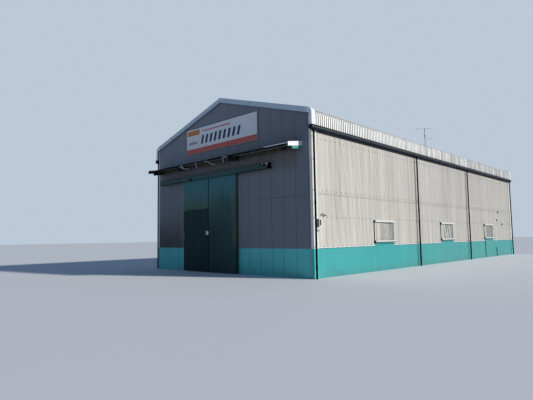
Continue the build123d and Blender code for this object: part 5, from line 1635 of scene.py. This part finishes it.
# ------------------------------------------------------------------ aerial
g = Geo()
MAST_Y = 8.750
ux, uy = math.cos(math.radians(43.7)), math.sin(math.radians(43.7))
z_boom = 9.672
g.box((-0.090, MAST_Y - 0.090, CREST0 + 0.0300), (0.090, MAST_Y + 0.090, CREST0 + 0.036), 0, 0.001)
g.lathe((0, MAST_Y, CREST0 + 0.032), (0, 0, 1), [(0.022, 0), (0.022, 0.12), (0.0160, 0.125), (0.0160, 9.698 - CREST0 - 0.032)], 16, 1)
for k in range(3):
    t = 2 * math.pi * (k / 3 + 0.1)
    foot = (0.085 * math.cos(t), MAST_Y + 0.085 * math.sin(t), CREST0 + 0.034)
    g.tube([foot, (0.014 * math.cos(t), MAST_Y + 0.014 * math.sin(t), CREST0 + 0.24)], 0.005, 8, 1)


def along(d, side_d=0.0, z=z_boom):
    return (ux * d - uy * side_d, MAST_Y + uy * d + ux * side_d, z)


g.tube([along(-0.665), along(0.665)], 0.0115, 10, 0)
g.box((-0.022, MAST_Y - 0.022, z_boom - 0.022), (0.022, MAST_Y + 0.022, z_boom + 0.022), 1, 0.003)
for k in range(13):
    d = -0.42 + 0.085 * k
    half = 0.155 - 0.0040 * k
    g.tube([along(d, -half, z_boom + 0.008), along(d, half, z_boom + 0.008)], 0.0055, 6, 0)
    g.box((along(d)[0] - 0.010, along(d)[1] - 0.010, z_boom), (along(d)[0] + 0.010, along(d)[1] + 0.010, z_boom + 0.020), 0)
for dz in (-0.12, -0.06, 0.0):
    g.tube([along(-0.625, -0.21, z_boom + dz), along(-0.625, 0.21, z_boom + dz)], 0.006, 6, 0)
g.tube([along(-0.640, 0, z_boom + 0.008), along(-0.612, 0, z_boom - 0.14)], 0.009, 8, 0)
for dz in (0.010, -0.030):
    g.tube([along(-0.50, -0.10, z_boom + dz), along(-0.50, 0.10, z_boom + dz)], 0.008, 6, 0)
cx, cyy = ux * -0.50, MAST_Y + uy * -0.50
g.box((cx - 0.035, cyy - 0.035, z_boom - 0.060), (cx + 0.035, cyy + 0.035, z_boom - 0.008), 0, 0.006)
# amplifier case on the mast, and a short side arm with a small pale element
g.box((-0.035, MAST_Y - 0.060, 9.050), (0.035, MAST_Y - 0.016, 9.160), 1, 0.006)
g.tube([along(0.0, 0, 8.930), along(0.60, 0, 8.930)], 0.007, 8, 1)
g.tube([along(0.60, 0, 8.865), along(0.60, 0, 8.995)], 0.012, 8, 0)
o = g.make("aerial", "building", [M["aerial"], M["dark_iron"]])
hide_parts("antenna")

# ------------------------------------------------------------------ inside
cad("floor_slab", M["concrete"])
cad("portal_columns", M["frame"])
cad("portal_rafters", M["frame"])
cad("door_frame", M["frame"])
cad("purlins", M["galv"])
cad("side_girts", M["galv"])
cad("end_girts", M["galv"])

# Base plates with bolts, and bolted plates at the ridge.
g = Geo()
COL_X = X_IN - 0.1 - 0.1
FRAMES = [-11.63] + [-11.82 + BAY * k for k in range(1, 7)] + [11.63]
for sx in (-1, 1):
    for y in FRAMES:
        end = abs(y) > 11.5
        xa, xb = sx * (COL_X - 0.13), sx * (COL_X + 0.098)
        dy = 0.10 if end else 0.13
        g.box((min(xa, xb), y - dy, 0.1205), (max(xa, xb), y + dy, 0.136), 0, 0.002)
        for x in (COL_X - 0.05, COL_X + 0.05):
            for s in (-1, 1):
                yy = y + s * (dy - 0.035)
                g.lathe((sx * x, yy, 0.135), (0, 0, 1), [(0.020, 0), (0.020, 0.014), (0.010, 0.0145), (0.010, 0.034)], 6, 1)
RAFTER_TOP = CREST0 - (0.050 + 0.1) / CA
for y in FRAMES:
    lo, hi = RAFTER_TOP - 0.2 / CA - 0.05, RAFTER_TOP - 0.008
    for sx in (-1, 1):
        xa, xb = sx * 0.0012, sx * 0.013
        for s in (-1, 1):
            g.box((min(xa, xb), y + s * 0.004 - (0.046 if s < 0 else 0), lo), (max(xa, xb), y + s * 0.004 + (0.046 if s > 0 else 0), hi), 0)
        for z in (lo + 0.03, lo + 0.10, lo + 0.17, hi - 0.03):
            for s in (-1, 1):
                g.lathe((sx * 0.013, y + s * 0.028, z), (sx, 0, 0), [(0.012, 0), (0.012, 0.010)], 6, 1)
g.make("frame_plates", "building", [M["frame"], M["galv"]])

# ------------------------------------------------------------------ studio
def studio_floor():
    me = bpy.data.meshes.new("studio_floor")
    n, r = 64, 220.0
    v = [(r * math.cos(2 * math.pi * k / n), r * math.sin(2 * math.pi * k / n), -0.002) for k in range(n)]
    me.from_pydata(v, [], [tuple(range(n))])
    k = Kit("studio_floor_pale")
    slow = k.noise(0.12, 3.0, 0.5)
    k.set("Base Color", k.mix(slow, (0.655, 0.665, 0.675, 1), (0.665, 0.675, 0.685, 1)))
    k.set("Roughness", 0.95)
    k.set("Specular IOR Level", 0.05)
    me.materials.append(k.mat)
    ob = bpy.data.objects.new("studio_floor", me)
    bpy.context.scene.collection.objects.link(ob)


studio_floor()

world = bpy.data.worlds.new("studio")
bpy.context.scene.world = world
world.use_nodes = True
wn = world.node_tree
wn.nodes.clear()
wo = wn.nodes.new("ShaderNodeOutputWorld")
bg_light = wn.nodes.new("ShaderNodeBackground")
bg_light.inputs[0].default_value = (0.48, 0.76, 1.24, 1)
bg_light.inputs[1].default_value = 0.25
bg_seen = wn.nodes.new("ShaderNodeBackground")
bg_seen.inputs[0].default_value = (0.50, 0.58, 0.68, 1)
bg_seen.inputs[1].default_value = 1.0
path = wn.nodes.new("ShaderNodeLightPath")
pick = wn.nodes.new("ShaderNodeMixShader")
wn.links.new(path.outputs["Is Camera Ray"], pick.inputs[0])
wn.links.new(bg_light.outputs[0], pick.inputs[1])
wn.links.new(bg_seen.outputs[0], pick.inputs[2])
wn.links.new(pick.outputs[0], wo.inputs[0])

to_sun = Vector((math.cos(math.radians(26)) * math.cos(math.radians(22.8)),
                 math.cos(math.radians(26)) * math.sin(math.radians(22.8)),
                 math.sin(math.radians(26))))
sun = bpy.data.lights.new("key", "SUN")
sun.energy = 3.7
sun.angle = math.radians(3.5)
sun.color = (1.0, 0.965, 0.91)
so = bpy.data.objects.new("key", sun)
so.rotation_euler = to_sun.to_track_quat("Z", "Y").to_euler()
so.location = to_sun * 60
bpy.context.scene.collection.objects.link(so)

# ------------------------------------------------------------------ camera
yaw, pitch, roll = -0.76315, 0.085135, -0.015158
fwd = Vector((math.sin(yaw) * math.cos(pitch), math.cos(yaw) * math.cos(pitch), math.sin(pitch)))
right = Vector((math.cos(yaw), -math.sin(yaw), 0.0))
up = right.cross(fwd)
c, s = math.cos(roll), math.sin(roll)
r2 = right * c + up * s
u2 = up * c - right * s
cam = bpy.data.cameras.new("camera")
cam.sensor_fit = "HORIZONTAL"
cam.sensor_width = 36.0
cam.lens = 441.9 * 36.0 / 533.0
cam.clip_end = 600.0
co = bpy.data.objects.new("camera", cam)
bpy.context.scene.collection.objects.link(co)
m = Matrix.Identity(4)
for k in range(3):
    m[k][0], m[k][1], m[k][2] = r2[k], u2[k], -fwd[k]
m.translation = Vector((14.3546, -24.0752, 1.45))
co.matrix_world = m
bpy.context.scene.camera = co
bpy.context.scene.view_settings.view_transform = "Standard"
